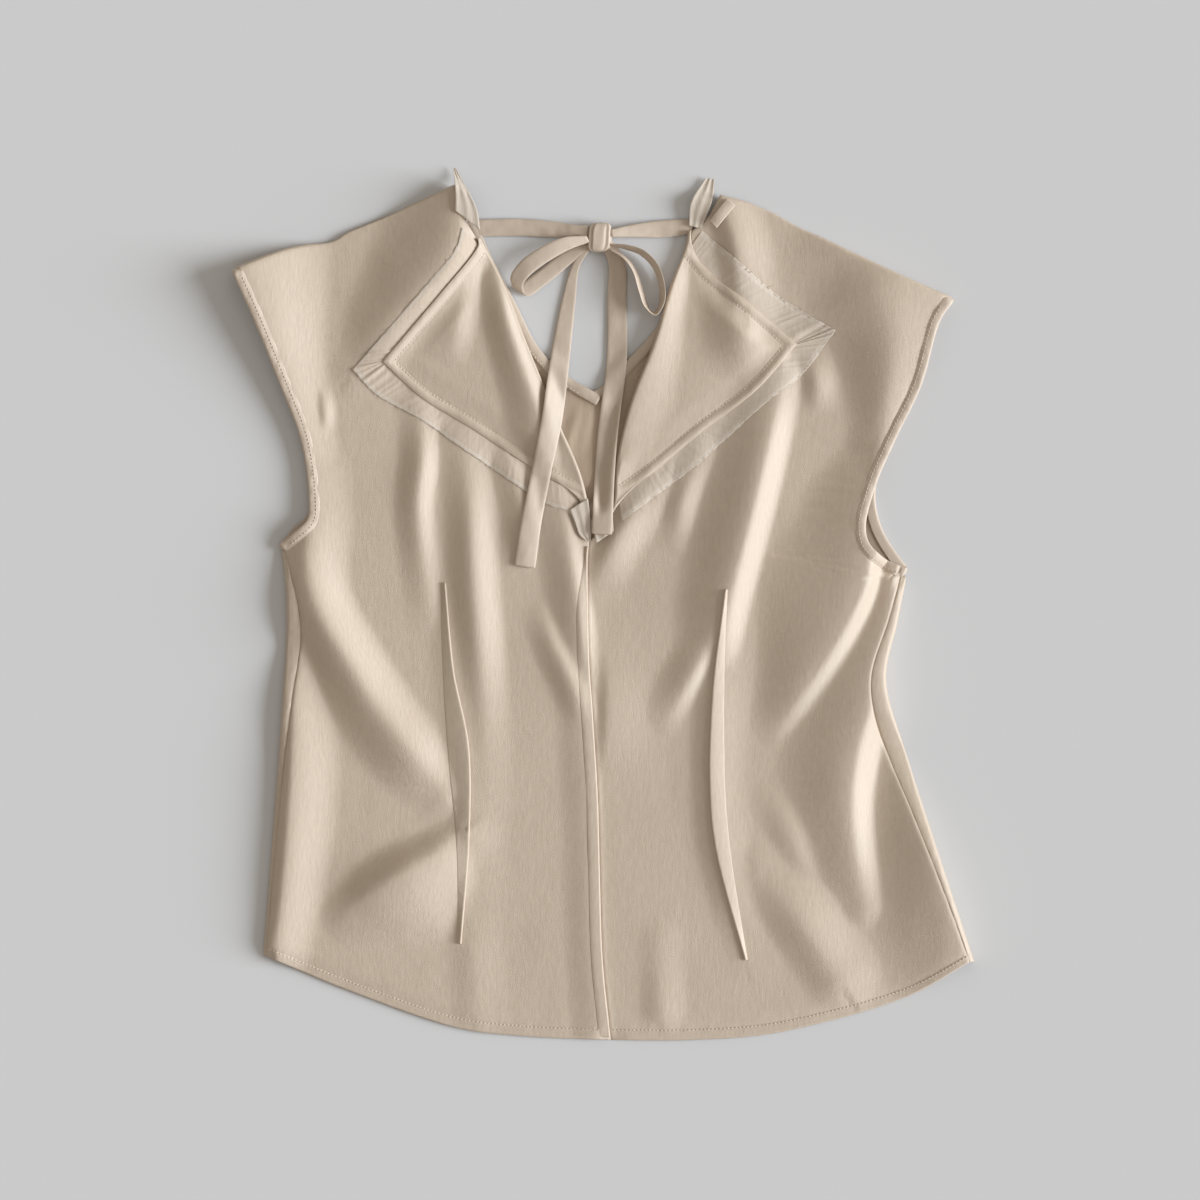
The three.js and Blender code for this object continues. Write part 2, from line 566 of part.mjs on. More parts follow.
const bindingLeft = add(
  "armhole_binding_left",
  wall(bindingGrid(curve(ARMHOLE_LEFT), curve(BACK_ARMHOLE_LEFT), -1), BINDING_WALL, true),
  BOUND_SATIN,
);
const bindingRight = add(
  "armhole_binding_right",
  wall(bindingGrid(curve(ARMHOLE_RIGHT), curve(BACK_ARMHOLE_RIGHT), 1), BINDING_WALL, true),
  BOUND_SATIN,
);

// Back neck binding: two strips along the V, meeting at its point

function neckBindingGrid(points, from, to) {
  const edge = curve(points);
  const inner = beside(edge, -BINDING_WIDTH);
  return shares(10, from, to).map((t) => {
    const [a, b] = [edge(t), inner(t)];
    return [a, mixPoint(a, b, 0.5), b].map(([x, y], k) => new THREE.Vector3(x, y, BINDING_WALL / 2 + (k === 1 ? 0.5 : 0)));
  });
}

const neckLeft = add("neck_binding_left", wall(neckBindingGrid(V_LEFT, 0.0, 0.955), BINDING_WALL), BOUND_SATIN);
const neckRight = add("neck_binding_right", wall(neckBindingGrid(V_RIGHT, 0.06, 1.0), BINDING_WALL), BOUND_SATIN);

// Tucks that stand on the fronts

// A narrow sheet between a sewn line and a folded edge, lying on the front and lifted along the fold.
function tuckGrid(sewn, fold, cells, below, lift) {
  const plan = shares(cells).map((t) =>
    shares(2).map((u) => {
      const [x, y] = mixPoint(sewn(t), fold(t), u);
      return new THREE.Vector3(x, y, 0);
    }),
  );
  return layOn(plan, below, CLOTH, (i, j) => lift * (j / 2), 4);
}

add(
  "middle_tuck",
  wall(
    tuckGrid(
      trimmed((t) => [middle(1 - t)[0] - TUCK_WIDTH, middle(1 - t)[1]], 0.01, 0.995),
      trimmed((t) => [middle(1 - t)[0] - 0.6, middle(1 - t)[1]], 0.01, 0.995),
      BODY_CELLS,
      [frontLeft],
      0.6,
    ),
    CLOTH,
  ),
  SATIN,
);
add("dart_left", wall(tuckGrid(curve(DART_LEFT_SEWN), curve(DART_LEFT_FOLD), 14, [frontLeft], 0.8), CLOTH), SATIN);
add("dart_right", wall(tuckGrid(curve(DART_RIGHT_SEWN), curve(DART_RIGHT_FOLD), 14, [frontRight], 0.8), CLOTH), SATIN);

// Lapels: from the front's edge round the roll and out to the sewn edge

const LAPELS = {
  left: {
    roll: rollLeft,
    edge: joined(curve(LAPEL_LEFT_UPPER), curve(LAPEL_LEFT_LOWER), LAPEL_POINT_SHARE),
    trim: joined(curve(TRIM_LEFT_UPPER), curve(TRIM_LEFT_LOWER), LAPEL_POINT_SHARE),
    front: frontLeft,
    inward: -1,
    bulge: 3.5,
  },
  right: {
    roll: rollRight,
    edge: joined(curve(LAPEL_RIGHT_UPPER), curve(LAPEL_RIGHT_LOWER), LAPEL_POINT_SHARE),
    trim: joined(curve(TRIM_RIGHT_UPPER), curve(TRIM_RIGHT_LOWER), LAPEL_POINT_SHARE),
    front: frontRight,
    inward: 1,
    bulge: 3.5,
  },
};

function lapelGrid({ roll, edge, front, inward, bulge }) {
  const cells = ROLL_CELLS - 1;
  const rows = shares(cells);
  const rollAt = (t) => roll(mix(1, 1 / ROLL_CELLS, t));
  const flat = rows.map((t) => {
    const [rx, ry] = rollAt(t);
    const start = [rx + inward * (ROLL_RADIUS + CLOTH / 2), ry];
    return shares(LAPEL_CELLS).map((u) => {
      const [x, y] = mixPoint(start, edge(t), u);
      return new THREE.Vector3(x, y, 0);
    });
  });
  const puff = (i, j) => bulge * Math.sin((Math.PI * j) / LAPEL_CELLS) * Math.sin((Math.PI * i) / cells);
  const laid = layOn(flat, [front], CLOTH, puff, 6);
  return laid.map((row, i) => {
    const start = row[0];
    const [rx, ry] = rollAt(rows[i]);
    const low = frontHeight(rx + inward * (ROLL_RADIUS + CLOTH / 2 + ROLL_GAP), ry);
    start.z = Math.max(start.z, low + 2 * ROLL_RADIUS);
    const radius = (start.z - low) / 2;
    const round = shares(FOLD_CELLS).map((k) => {
      const angle = Math.PI * k;
      return new THREE.Vector3(start.x - inward * ROLL_RADIUS * Math.sin(angle), start.y, low + radius * (1 - Math.cos(angle)));
    });
    return [...round.slice(0, -1), ...row];
  });
}

const lapels = {};
for (const side of ["left", "right"]) {
  lapels[side] = add(`lapel_${side}`, wall(lapelGrid(LAPELS[side]), CLOTH), SATIN);
}

// Raw-edged trims beyond the lapels' sewn edges

function trimGrid({ edge, trim, front }) {
  const cells = 22;
  const plan = shares(cells, 0.02, 0.98).map((t) => {
    const start = edge(t);
    const end = trim(t);
    const length = Math.hypot(end[0] - start[0], end[1] - start[1]);
    const clear = (SEAM_GAP + 2 * CLOTH) / length;
    return shares(2).map((u) => {
      const [x, y] = mixPoint(start, end, mix(clear, 1, u));
      return new THREE.Vector3(x, y, 0);
    });
  });
  return layOn(plan, [front, back], TRIM_WALL, (i, j) => (j === 2 ? 0.4 * (i % 2) : 0.5), 4);
}

const trims = {};
for (const side of ["left", "right"]) {
  trims[side] = add(`lapel_trim_${side}`, wall(trimGrid(LAPELS[side]), TRIM_WALL), RAW_TRIM);
}

// Short pieces at the shoulders' neck ends

function shortGrid({ left, right }, cells, below, thickness, lift, reach) {
  const [a, b] = [curve(left), curve(right)];
  const plan = shares(cells).map((t) =>
    shares(2).map((u) => {
      const [x, y] = mixPoint(a(t), b(t), u);
      return new THREE.Vector3(x, y, 0);
    }),
  );
  return layOn(plan, below, thickness, (i) => lift * (i / cells), reach);
}

const below = [back, frontLeft, frontRight, ...Object.values(lapels), ...Object.values(trims)];
add("trim_end_left", wall(shortGrid(TRIM_END_LEFT, 5, below, TRIM_WALL, 3, 6), TRIM_WALL), RAW_TRIM);
add("trim_end_right", wall(shortGrid(TRIM_END_RIGHT, 5, below, TRIM_WALL, 2, 4), TRIM_WALL), RAW_TRIM);
add("neck_strip_right", wall(shortGrid(NECK_STRIP, 4, below, BINDING_WALL, 0, 4), BINDING_WALL), BOUND_SATIN);

// The tie

function ribbonPath(rows, cells) {
  const line = new THREE.CatmullRomCurve3(
    rows.map(({ at, z }) => new THREE.Vector3(at[0], at[1], z ?? 0)),
    false,
    "centripetal",
  );
  const place = (t) => t * (rows.length - 1);
  const blend = (t, pick) => {
    const k = Math.min(rows.length - 2, Math.floor(place(t)));
    const share = place(t) - k;
    return pick(rows[k]).map((value, n) => mix(value, pick(rows[k + 1])[n], share));
  };
  return shares(cells).map((t) => ({ middle: line.getPoint(t), blend: (pick) => blend(t, pick), heading: line.getTangent(t) }));
}

// A flat ribbon: its width lies level, square to its middle line.
function flatRibbon(rows, cells, pieces) {
  const grid = ribbonPath(rows, cells).map(({ middle: m, blend, heading }) => {
    const [half] = blend((row) => [row.half]);
    const across = new THREE.Vector3(-heading.y, heading.x, 0).normalize().multiplyScalar(half);
    return shares(3, -1, 1).map((u) => m.clone().addScaledVector(across, u));
  });
  return pieces ? layOn(grid, pieces, TIE_WALL, () => 0.4, 8) : grid;
}

// A looped ribbon, with its half width given at each point.
function loopRibbon(rows, cells) {
  return ribbonPath(rows, cells).map(({ middle: m, blend }) => {
    const across = new THREE.Vector3(...blend((row) => row.wide));
    return [m.clone().sub(across), m.clone().add(across)];
  });
}

const draped = [...below, neckLeft, neckRight];
add("tie_band_left", wall(flatRibbon(BAND_LEFT, 8), TIE_WALL), BOUND_SATIN);
add("tie_band_right", wall(flatRibbon(BAND_RIGHT, 8), TIE_WALL), BOUND_SATIN);
add("bow_loop_left", wall(loopRibbon(LOOP_LEFT, 24), TIE_WALL), BOUND_SATIN);
add("bow_loop_right", wall(loopRibbon(LOOP_RIGHT, 26), TIE_WALL), BOUND_SATIN);
add("tie_tail_left", wall(flatRibbon(TAIL_LEFT, 22, draped), TIE_WALL), BOUND_SATIN);
add("tie_tail_right", wall(flatRibbon(TAIL_RIGHT, 20, draped), TIE_WALL), BOUND_SATIN);

// The knot: the wrapped turn and what it holds, as one rounded solid
const knot = new THREE.SphereGeometry(1, 16, 10);
const knotPoints = knot.attributes.position;
for (let k = 0; k < knotPoints.count; k += 1) {
  const square = (value) => Math.sign(value) * Math.abs(value) ** 0.55;
  knotPoints.setXYZ(
    k,
    KNOT.x + (square(knotPoints.getX(k)) * KNOT.width) / 2,
    KNOT.y + (square(knotPoints.getY(k)) * KNOT.length) / 2,
    KNOT.z + (square(knotPoints.getZ(k)) * KNOT.height) / 2,
  );
}
add("bow_knot", knot, BOUND_SATIN);

export default blouse;
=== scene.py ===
"""A sleeveless satin blouse laid flat on its back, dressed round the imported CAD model.

Plan points and sizes are in millimetres, as in the part's own tables; meshes are made in metres.
"""

import math

import bpy
import numpy as np
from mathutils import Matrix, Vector
from mathutils.bvhtree import BVHTree


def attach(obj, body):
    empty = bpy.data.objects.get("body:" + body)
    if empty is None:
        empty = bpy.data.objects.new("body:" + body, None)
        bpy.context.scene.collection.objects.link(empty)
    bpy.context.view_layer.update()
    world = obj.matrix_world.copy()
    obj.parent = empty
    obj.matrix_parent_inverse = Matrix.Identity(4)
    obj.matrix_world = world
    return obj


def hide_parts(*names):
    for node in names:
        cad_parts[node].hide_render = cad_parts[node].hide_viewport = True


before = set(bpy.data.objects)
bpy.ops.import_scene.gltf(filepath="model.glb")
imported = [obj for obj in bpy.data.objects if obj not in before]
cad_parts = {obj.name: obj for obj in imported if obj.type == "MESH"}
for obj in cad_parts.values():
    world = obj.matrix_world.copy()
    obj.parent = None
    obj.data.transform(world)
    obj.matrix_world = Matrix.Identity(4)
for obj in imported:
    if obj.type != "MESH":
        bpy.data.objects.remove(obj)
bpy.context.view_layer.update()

MM = 0.001
SIDES = ("left", "right")
# The way from the middle to each side, along X
AWAY = dict(left=-1, right=1)

# Sizes of the cloth and its details
SATIN_WALL = 0.7
STRIP_WALL = 1.2
TRIM_WALL = 0.4
BINDING_WALL = 0.5
BINDING_WIDTH = 7.5
IN_BINDING = 3.0
TUCK_WIDTH = 8.5
HEM_WIDTH = 7.0
TOPSTITCH_INSET = 6.3
SEAM_GAP = 0.2
ROLL_RADIUS = 1.6
SIDE_RADIUS = 2.3
FRONT_REST = 3.4
BACK_REST = 0.45
LAPEL_GAP = 0.35
TRIM_GAP = 0.08
TUCK_EDGE = 0.06
V_CUT = 5.0
STITCH_PITCH = 2.9
STITCH_LENGTH = 1.8
STITCH_RADIUS = 0.38
THREAD_RADIUS = 0.12

# Shares of a side's edge, from the hem up, and of a lapel's edge, from the neck down
UNDERARM = 0.58
NECK = 0.94
LAPEL_POINT = 5 / 11
LAPEL_START = 1 / 12
BACK_SHOULDER = 3 / 16

# Outlines of each side, from the hem up and from the middle out
HEM = dict(
    left=[(-252, -260), (-194, -284), (-109, -313), (-62, -319), (5, -322)],
    right=[(5, -322), (61, -322), (113, -319), (154, -311.5), (227, -290), (273.5, -264)],
)
SIDE = dict(
    left=[(-252, -260), (-245, -172), (-237.5, -67), (-234.5, -10), (-236.5, 25), (-239, 41)],
    right=[(273.5, -264), (248.5, -188), (225, -115), (208.5, -56), (217, -13), (224, 21.5)],
)
SEAM_INSET = dict(left=[2.5, 3, 4, 7, 11, 2.5], right=[4, 6.5, 10.5, 15, 10, 5])
MIDDLE_SEAM = [(5, -322), (-1, -263), (-3, -204), (-4.5, -145), (-8, -86), (-11, -41), (-12, 33), (-11, 46)]
ARMHOLE = dict(
    left=[
        (-240, 44), (-230, 52), (-219, 63), (-218, 77), (-224, 121), (-240, 164), (-257.5, 208),
        (-274, 245),
    ],
    right=[
        (225, 26), (210, 32), (196, 44), (193, 57), (200, 86), (215, 121), (234, 161), (248, 209),
        (257.5, 223),
    ],
)
BACK_ARMHOLE = dict(
    left=[
        (-240, 44), (-230, 56), (-219, 67), (-218, 80), (-224, 121), (-240, 164), (-257.5, 208),
        (-274, 245),
    ],
    right=[
        (225, 26), (214, 41), (206, 55), (201, 73), (202, 92), (215, 121), (234, 161), (248, 209),
        (257.5, 223),
    ],
)
SHOULDER = dict(
    left=[(-274, 246), (-236, 260), (-201, 267), (-191, 273), (-151, 289), (-110, 307)],
    right=[(257.5, 226), (230, 237.5), (189, 256), (145, 277), (120.5, 290), (85, 300)],
)
ROLL = dict(
    left=[(-11, 46), (-10, 61), (-16, 93), (-33, 134), (-45.5, 165), (-58.5, 197), (-73.5, 236), (-91, 270)],
    right=[
        (-11, 46), (-3, 55), (6, 73), (9, 104), (18.5, 146), (37, 195), (49.5, 237), (60, 265), (62, 276),
    ],
)
NECK_EDGE = dict(
    left=[(-94.6, 270), (-105, 288), (-110, 307)],
    right=[(65.6, 276), (75.5, 284), (85, 300)],
)
BACK_V = dict(
    left=[(-98, 290), (-85, 260), (-67, 225), (-47.5, 188), (-26.5, 168), (-8, 157)],
    right=[(-8, 157), (2, 163), (17, 180), (38, 203), (52.5, 232), (62, 260), (71, 288)],
)

# Lapels and their trims: from the neck to the point, then down to the bottom
LAPEL_UPPER = dict(
    left=[(-91.5, 266), (-97, 257), (-117, 233), (-163.5, 179)],
    right=[(62.5, 264), (78, 245), (109, 220.5), (142, 192)],
)
LAPEL_LOWER = dict(
    left=[(-163.5, 179), (-135, 153), (-101, 132), (-40, 93), (-17, 81)],
    right=[(142, 192), (112, 158), (70, 126), (35.5, 97), (9, 78)],
)
TRIM_UPPER = dict(
    left=[(-104, 279), (-109.5, 262), (-127, 240), (-186, 173)],
    right=[(71, 277), (97, 255), (130, 227), (171, 202)],
)
TRIM_LOWER = dict(
    left=[(-186, 173), (-169, 155), (-135, 136), (-100.5, 112), (-41, 73), (-26, 67), (-20, 52)],
    right=[(171, 202), (144, 167), (120.5, 149.5), (70, 104), (35.5, 78), (11, 60)],
)

# Folds: the crest from the neck end down, its rise along it, and its spread to the left and right of it
FOLDS = [
    # left front
    dict(
        crest=[(-271, 253), (-255, 210), (-238, 166), (-222, 121), (-217, 80)],
        rise=[17, 15, 10, 6, 3], left=10, right=[76, 60, 38, 28, 28],
    ),
    dict(
        crest=[(-104, 305), (-112, 262), (-135, 232), (-165, 200), (-182, 176)],
        rise=[11, 15, 14, 9, 2], left=[52, 62, 56, 40, 22], right=30,
    ),
    dict(
        crest=[
            (-217, 90), (-217, 60), (-219, 30), (-213, 0), (-192, -38), (-167, -78), (-144, -108),
            (-120, -138),
        ],
        rise=[4, 7, 11, 14, 14, 12.5, 10, 3], left=[16, 20, 26, 30, 34, 36, 36, 30],
        right=[34, 34, 32, 30, 30, 30, 28, 20],
    ),
    dict(
        crest=[(-136, 144), (-135, 107), (-138, 73), (-133, 20), (-128, -27)],
        rise=[2, 6, 5, 2.5, 0], left=19, right=15,
    ),
    dict(
        crest=[(-104, 121), (-99, 70), (-97, 21), (-92, -41), (-87, -130), (-86, -219)],
        rise=[2, 7, 7, 3, 0.8, 0], left=22, right=22,
    ),
    dict(crest=[(-68, 100), (-58, 60), (-60, 22)], rise=[3, 5, 0], left=20, right=12),
    dict(crest=[(-34, 86), (-26, 40), (-20, 0), (-15, -64)], rise=[2, 5.5, 6, 1], left=26, right=14),
    dict(crest=[(-52, 5), (-39, -27), (-22, -64), (-12, -104)], rise=[0, 4.5, 5.5, 0], left=18, right=16),
    dict(
        crest=[(-106, -170), (-126, -186), (-150, -200), (-174, -216), (-192, -230), (-205, -243)],
        rise=[4, 10, 13, 11, 5, 0], left=[18, 22, 26, 26, 22, 18], right=[36, 54, 66, 60, 44, 30],
    ),
    dict(
        crest=[(-233, -20), (-230, -60), (-230, -110), (-234, -170), (-239, -225), (-243, -252)],
        rise=[2, 6, 8.5, 8.5, 8, 6], left=13, right=[20, 30, 38, 38, 34, 30],
    ),
    dict(crest=[(-212, 168), (-207, 142), (-209, 116)], rise=[0, 3.2, 0], left=8, right=10),
    dict(crest=[(-229, 39), (-220, 29), (-213, 12)], rise=[1.5, 2.4, 0], left=5, right=7),
    dict(crest=[(-222, 54), (-213, 44), (-206, 28)], rise=[1, 2.2, 0], left=5, right=7),
    dict(crest=[(-100, -205), (-97, -250), (-95, -300)], rise=[0, 1.8, 1.5], left=22, right=28),
    # right front
    dict(crest=[(88, 299), (98, 262), (104, 225)], rise=[5, 7, 5], left=16, right=30),
    dict(
        crest=[(190, 262), (205, 232), (213, 195), (209, 152), (202, 118)],
        rise=[7, 13, 13, 9, 5], left=[60, 66, 52, 36, 26], right=[110, 95, 70, 34, 14],
    ),
    dict(
        crest=[(250, 228), (236, 190), (218, 148), (203, 110), (194, 70)],
        rise=[6, 4, 4, 5, 5], left=[50, 20, 14, 14, 14], right=10,
    ),
    dict(crest=[(151, 188), (157, 164), (157, 138)], rise=[0, 3.5, 0], left=14, right=18),
    dict(
        crest=[(131, 168), (121, 121), (111, 77), (101, 38), (91, -4), (82, -64)],
        rise=[4, 10, 12, 12, 9, 0], left=[30, 38, 44, 44, 40, 30], right=19,
    ),
    dict(crest=[(72, 112), (58, 75), (50, 35)], rise=[2, 4, 0], left=17, right=16),
    dict(crest=[(38, 88), (12, 52), (-8, 10)], rise=[2, 6, 1], left=15, right=24),
    dict(crest=[(88, -6), (64, -54), (38, -96)], rise=[3, 6, 0], left=24, right=14),
    dict(
        crest=[(205, 112), (197, 80), (196, 50), (194, 20), (177, -18), (153, -56), (118, -104)],
        rise=[5, 10, 13.5, 14.5, 12, 7, 0], left=[30, 54, 76, 80, 66, 38, 20],
        right=[9, 9, 12, 18, 20, 20, 16],
    ),
    dict(
        crest=[(214, 10), (207, -36), (197, -72), (187, -106), (182, -142), (184, -178), (193, -222)],
        rise=[6, 10.5, 12.5, 12.5, 11.5, 8, 3], left=[26, 48, 60, 62, 56, 40, 22],
        right=[12, 15, 19, 20, 20, 20, 20],
    ),
    dict(
        crest=[(216, -96), (234, -142), (248, -184), (260, -226), (270, -263)],
        rise=[0, 7, 12, 13, 9], left=[16, 38, 54, 66, 66], right=7,
    ),
    dict(crest=[(118, -130), (142, -180), (156, -215)], rise=[0, 3, 0], left=20, right=26),
    dict(crest=[(116, -200), (149, -240), (172, -276)], rise=[2, 6.5, 5], left=28, right=36),
    dict(crest=[(40, -250), (42, -300)], rise=[1.2, 2.4], left=18, right=22),
    dict(crest=[(4, -30), (3, -80), (1, -130)], rise=[0, 2.5, 0], left=10, right=38),
    # under the darts and the middle tuck
    dict(
        crest=[(-114, 10), (-110, -49), (-102, -105), (-100, -172), (-106, -250)],
        rise=[0.6, 1.6, 2, 2, 0.5], left=20, right=34,
    ),
    dict(
        crest=[(90, 0), (82, -65), (80, -138), (84.5, -182), (106, -264)],
        rise=[1, 3.2, 3.4, 3.2, 0.5], left=18, right=30,
    ),
    dict(
        crest=[(-19, 46), (-19, -41), (-16, -86), (-12.5, -145), (-11, -204), (-9, -263), (-4, -316)],
        rise=[1.8, 2.3, 2.5, 2.5, 2.4, 2.4, 2.0], left=22, right=12,
    ),
]
LAPEL_FOLDS = dict(
    left=[
        dict(
            crest=[(-102, 264), (-106, 230), (-111, 200), (-118, 176)],
            rise=[3, 5, 4.5, 0], left=56, right=18,
        ),
        dict(
            crest=[(-79, 242), (-71, 208), (-62, 180), (-52, 150), (-45, 120), (-38, 95)],
            rise=[4, 8, 8.5, 8, 6, 1], left=[17, 20, 23, 26, 28, 26], right=[10, 12, 13, 14, 12, 10],
        ),
    ],
    right=[
        dict(
            crest=[(58, 262), (46, 232), (34, 195), (20, 150), (13, 110)],
            rise=[4, 7, 7.5, 6, 2], left=12, right=[12, 20, 30, 34, 22],
        ),
        dict(crest=[(88, 262), (99, 230), (102, 194), (94, 165)], rise=[4, 9, 8, 0], left=34, right=34),
    ],
)

# Darts, from top to bottom: where they are sewn and where they are folded
DART_SEWN = dict(
    left=[(-120, 15.5), (-120, -29.5), (-115, -115), (-109, -175), (-108, -251)],
    right=[(91, 10.5), (89, -41), (89.5, -138), (94, -188), (106, -263)],
)
DART_FOLD = dict(
    left=[(-118, 15.5), (-112, -49), (-101, -105), (-100.5, -172), (-106.5, -251)],
    right=[(90, 10.5), (81, -65), (79, -138), (83.5, -182), (105, -263)],
)

# The tie. Bands: x, y, half width, height. Loops: x, y, height, half the ribbon's width as a vector.
# Tails: x, y, half width
KNOT = dict(x=-3.3, y=271.0, z=5.4, width=17.5, length=21.5, height=9.2)
BAND = dict(
    left=[
        (-97, 278, 6.2, 1.55), (-60, 278.5, 6.3, 1.6), (-35.5, 277, 5.6, 3.0), (-20, 276.2, 3.9, 5.4),
        (-12.4, 275.6, 4.4, 6.6),
    ],
    right=[(5.8, 274, 2.8, 7.0), (22, 276, 4.6, 4.0), (44, 277.5, 6.3, 1.8), (65.2, 279.2, 5.4, 1.5)],
)
LOOP = dict(
    left=[
        (-12.4, 269.5, 9.0, -1.2, 2.4, 0.6), (-28, 266, 11.4, -2.4, 4.4, 1.2),
        (-46.5, 256.5, 11.4, -3.0, 5.2, 0.4), (-59, 247, 9.6, -3.4, 5.2, 0),
        (-64.5, 238, 6.2, -4.6, 3.6, 0), (-61.5, 231, 3.0, -4.8, 3.4, 0), (-47.5, 240, 2.0, -3.4, 4.6, 0),
        (-29, 254.5, 2.0, -3.0, 4.2, 0), (-13.4, 265, 3.6, -1.4, 2.4, 0),
    ],
    right=[
        (5.8, 265.5, 5.8, 0.6, 0.4, 1.8), (17, 263.5, 8.0, 0.9, 1.3, 4.6), (28, 259.5, 9.0, 1.4, 1.4, 6.0),
        (37.5, 250, 9.0, 1.9, 0.8, 6.0), (42.5, 236, 9.0, 2.0, 0.2, 6.0), (42.5, 222, 9.0, 1.7, -0.3, 6.0),
        (37.5, 214.5, 9.0, 0.2, -1.5, 6.0), (32, 218.5, 9.0, -1.7, 0.4, 6.0),
        (27.5, 231, 9.0, -1.9, 0.2, 6.0), (23, 245, 8.8, -1.7, 0.3, 5.4),
        (15.5, 255.5, 9.2, -1.0, -0.6, 4.0), (5.8, 261.5, 7.2, -0.4, -0.6, 1.8),
    ],
)
TAIL = dict(
    left=[
        (-11, 265, 2.2), (-20.7, 250, 2.8), (-26, 225, 5.0), (-32.5, 181, 7.0), (-38.5, 136, 7.6),
        (-46, 99, 7.2), (-53.5, 61.5, 7.4), (-58.5, 28, 7.8),
    ],
    right=[
        (2, 266, 4.6), (9.0, 254, 6.0), (9.5, 225, 7.0), (9.5, 181, 7.4), (3, 129, 7.3), (0.5, 95.5, 7.3),
        (-1.5, 52, 7.5),
    ],
)

# Short pieces, each between its left and right edge
TRIM_TIP_LEFT = dict(
    left=[(-109.5, 290), (-109.5, 305), (-111.3, 322)],
    right=[(-91.5, 276), (-94, 291), (-109.6, 322)],
)
TRIM_TIP_RIGHT = dict(
    left=[(63, 280), (64.5, 297), (75.5, 315)],
    right=[(71.5, 277.5), (80, 299), (81.5, 314)],
)
TRIM_FOLD_LEFT = dict(
    left=[(-25, 69.6), (-21.5, 60.7), (-17.8, 51), (-12.4, 46.6)],
    right=[(-12, 78), (-10.8, 68), (-10.2, 57), (-10, 46.6)],
)
TRIM_FOLD_RIGHT = dict(left=[(-9.4, 62), (-5.6, 45.3)], right=[(6, 66), (7, 54)])
NECK_STRIP = dict(left=[(78, 283), (90.5, 299)], right=[(83, 278), (96.5, 294.5)])


# Curves and shares


def unit(v):
    """Vectors of length one."""
    return v / np.maximum(np.linalg.norm(v, axis=-1, keepdims=True), 1e-9)


def curve(points, dense=60):
    """A smooth curve through plan points, as a function of shares of its length."""
    p = np.array(points, float)
    p = np.vstack([2 * p[0] - p[1], p, 2 * p[-1] - p[-2]])
    runs = []
    for a, b, c, d in zip(p[:-3], p[1:-2], p[2:-1], p[3:]):
        t1 = np.linalg.norm(b - a) ** 0.5
        t2 = t1 + np.linalg.norm(c - b) ** 0.5
        t3 = t2 + np.linalg.norm(d - c) ** 0.5
        t = np.linspace(t1, t2, dense, endpoint=False)[:, None]
        ab = a + (b - a) * t / t1
        bc = b + (c - b) * (t - t1) / (t2 - t1)
        cd = c + (d - c) * (t - t2) / (t3 - t2)
        abc = ab + (bc - ab) * t / t2
        bcd = bc + (cd - bc) * (t - t1) / (t3 - t1)
        runs.append(abc + (bcd - abc) * (t - t1) / (t2 - t1))
    line = np.vstack([*runs, p[-2:-1]])
    length = np.concatenate([[0], np.cumsum(np.linalg.norm(np.diff(line, axis=0), axis=1))])

    def at(share):
        s = np.clip(share, 0, 1) * length[-1]
        return np.stack([np.interp(s, length, line[:, k]) for k in range(line.shape[1])], -1)

    return at


def edges_of(table):
    """The smooth curve of each side of a table."""
    return {side: curve(table[side]) for side in SIDES}


def length_of(line):
    """The length of a line of points."""
    return np.linalg.norm(np.diff(line, axis=0), axis=1).sum()


def profile(values):
    """Evenly spaced values joined smoothly, as a function of a share."""
    values = np.array(values, float)

    def at(share):
        place = np.clip(share, 0, 1) * (len(values) - 1)
        first = np.minimum(len(values) - 2, np.floor(place).astype(int))
        t = place - first
        a, b = values[np.maximum(first - 1, 0)], values[first]
        c, d = values[first + 1], values[np.minimum(first + 2, len(values) - 1)]
        return b + t / 2 * (c - a + t * (2 * a - 5 * b + 4 * c - d + t * (3 * b - a - 3 * c + d)))

    return at


def beside(line, distance):
    """The curve moved to its left by a distance."""

    def at(share):
        share = np.asarray(share, float)
        a, b = line(np.maximum(0, share - 0.004)), line(np.minimum(1, share + 0.004))
        way = unit(b - a)
        return line(share) + distance * np.stack([-way[..., 1], way[..., 0]], -1)

    return at


def joined(first, second, share):
    """Two curves run one after the other."""

    def at(t):
        t = np.asarray(t, float)
        return np.where((t < share)[..., None], first(t / share), second((t - share) / (1 - share)))

    return at


def smooth(low, high, x):
    """A soft step from 0 at low to 1 at high."""
    t = np.clip((x - low) / (high - low), 0, 1)
    return t * t * (3 - 2 * t)


def nearest(points, line):
    """Distance of plan points from a line, the share along it, and if they are right of it going down."""
    flat = points[..., :2].reshape(-1, 2)
    best = np.full(len(flat), 1e9)
    along = np.zeros(len(flat))
    right = np.zeros(len(flat), bool)
    for k, (a, b) in enumerate(zip(line[:-1], line[1:])):
        way = b - a
        off = flat - a
        part = np.clip((off @ way) / max(way @ way, 1e-9), 0, 1)
        gap = off - part[:, None] * way
        distance = np.hypot(gap[:, 0], gap[:, 1])
        closer = distance < best
        best[closer] = distance[closer]
        along[closer] = (k + part[closer]) / (len(line) - 1)
        right[closer] = (way[0] * off[closer, 1] - way[1] * off[closer, 0]) > 0
    shape = points.shape[:-1]
    return best.reshape(shape), along.reshape(shape), right.reshape(shape)


def distance_to(points, line):
    """Distance of plan points from a line."""
    return nearest(points, line)[0]


def between(start, end, across):
    """Plan points in rows, each row from its start to its end."""
    return start[:, None] * (1 - across[None, :, None]) + end[:, None] * across[None, :, None]


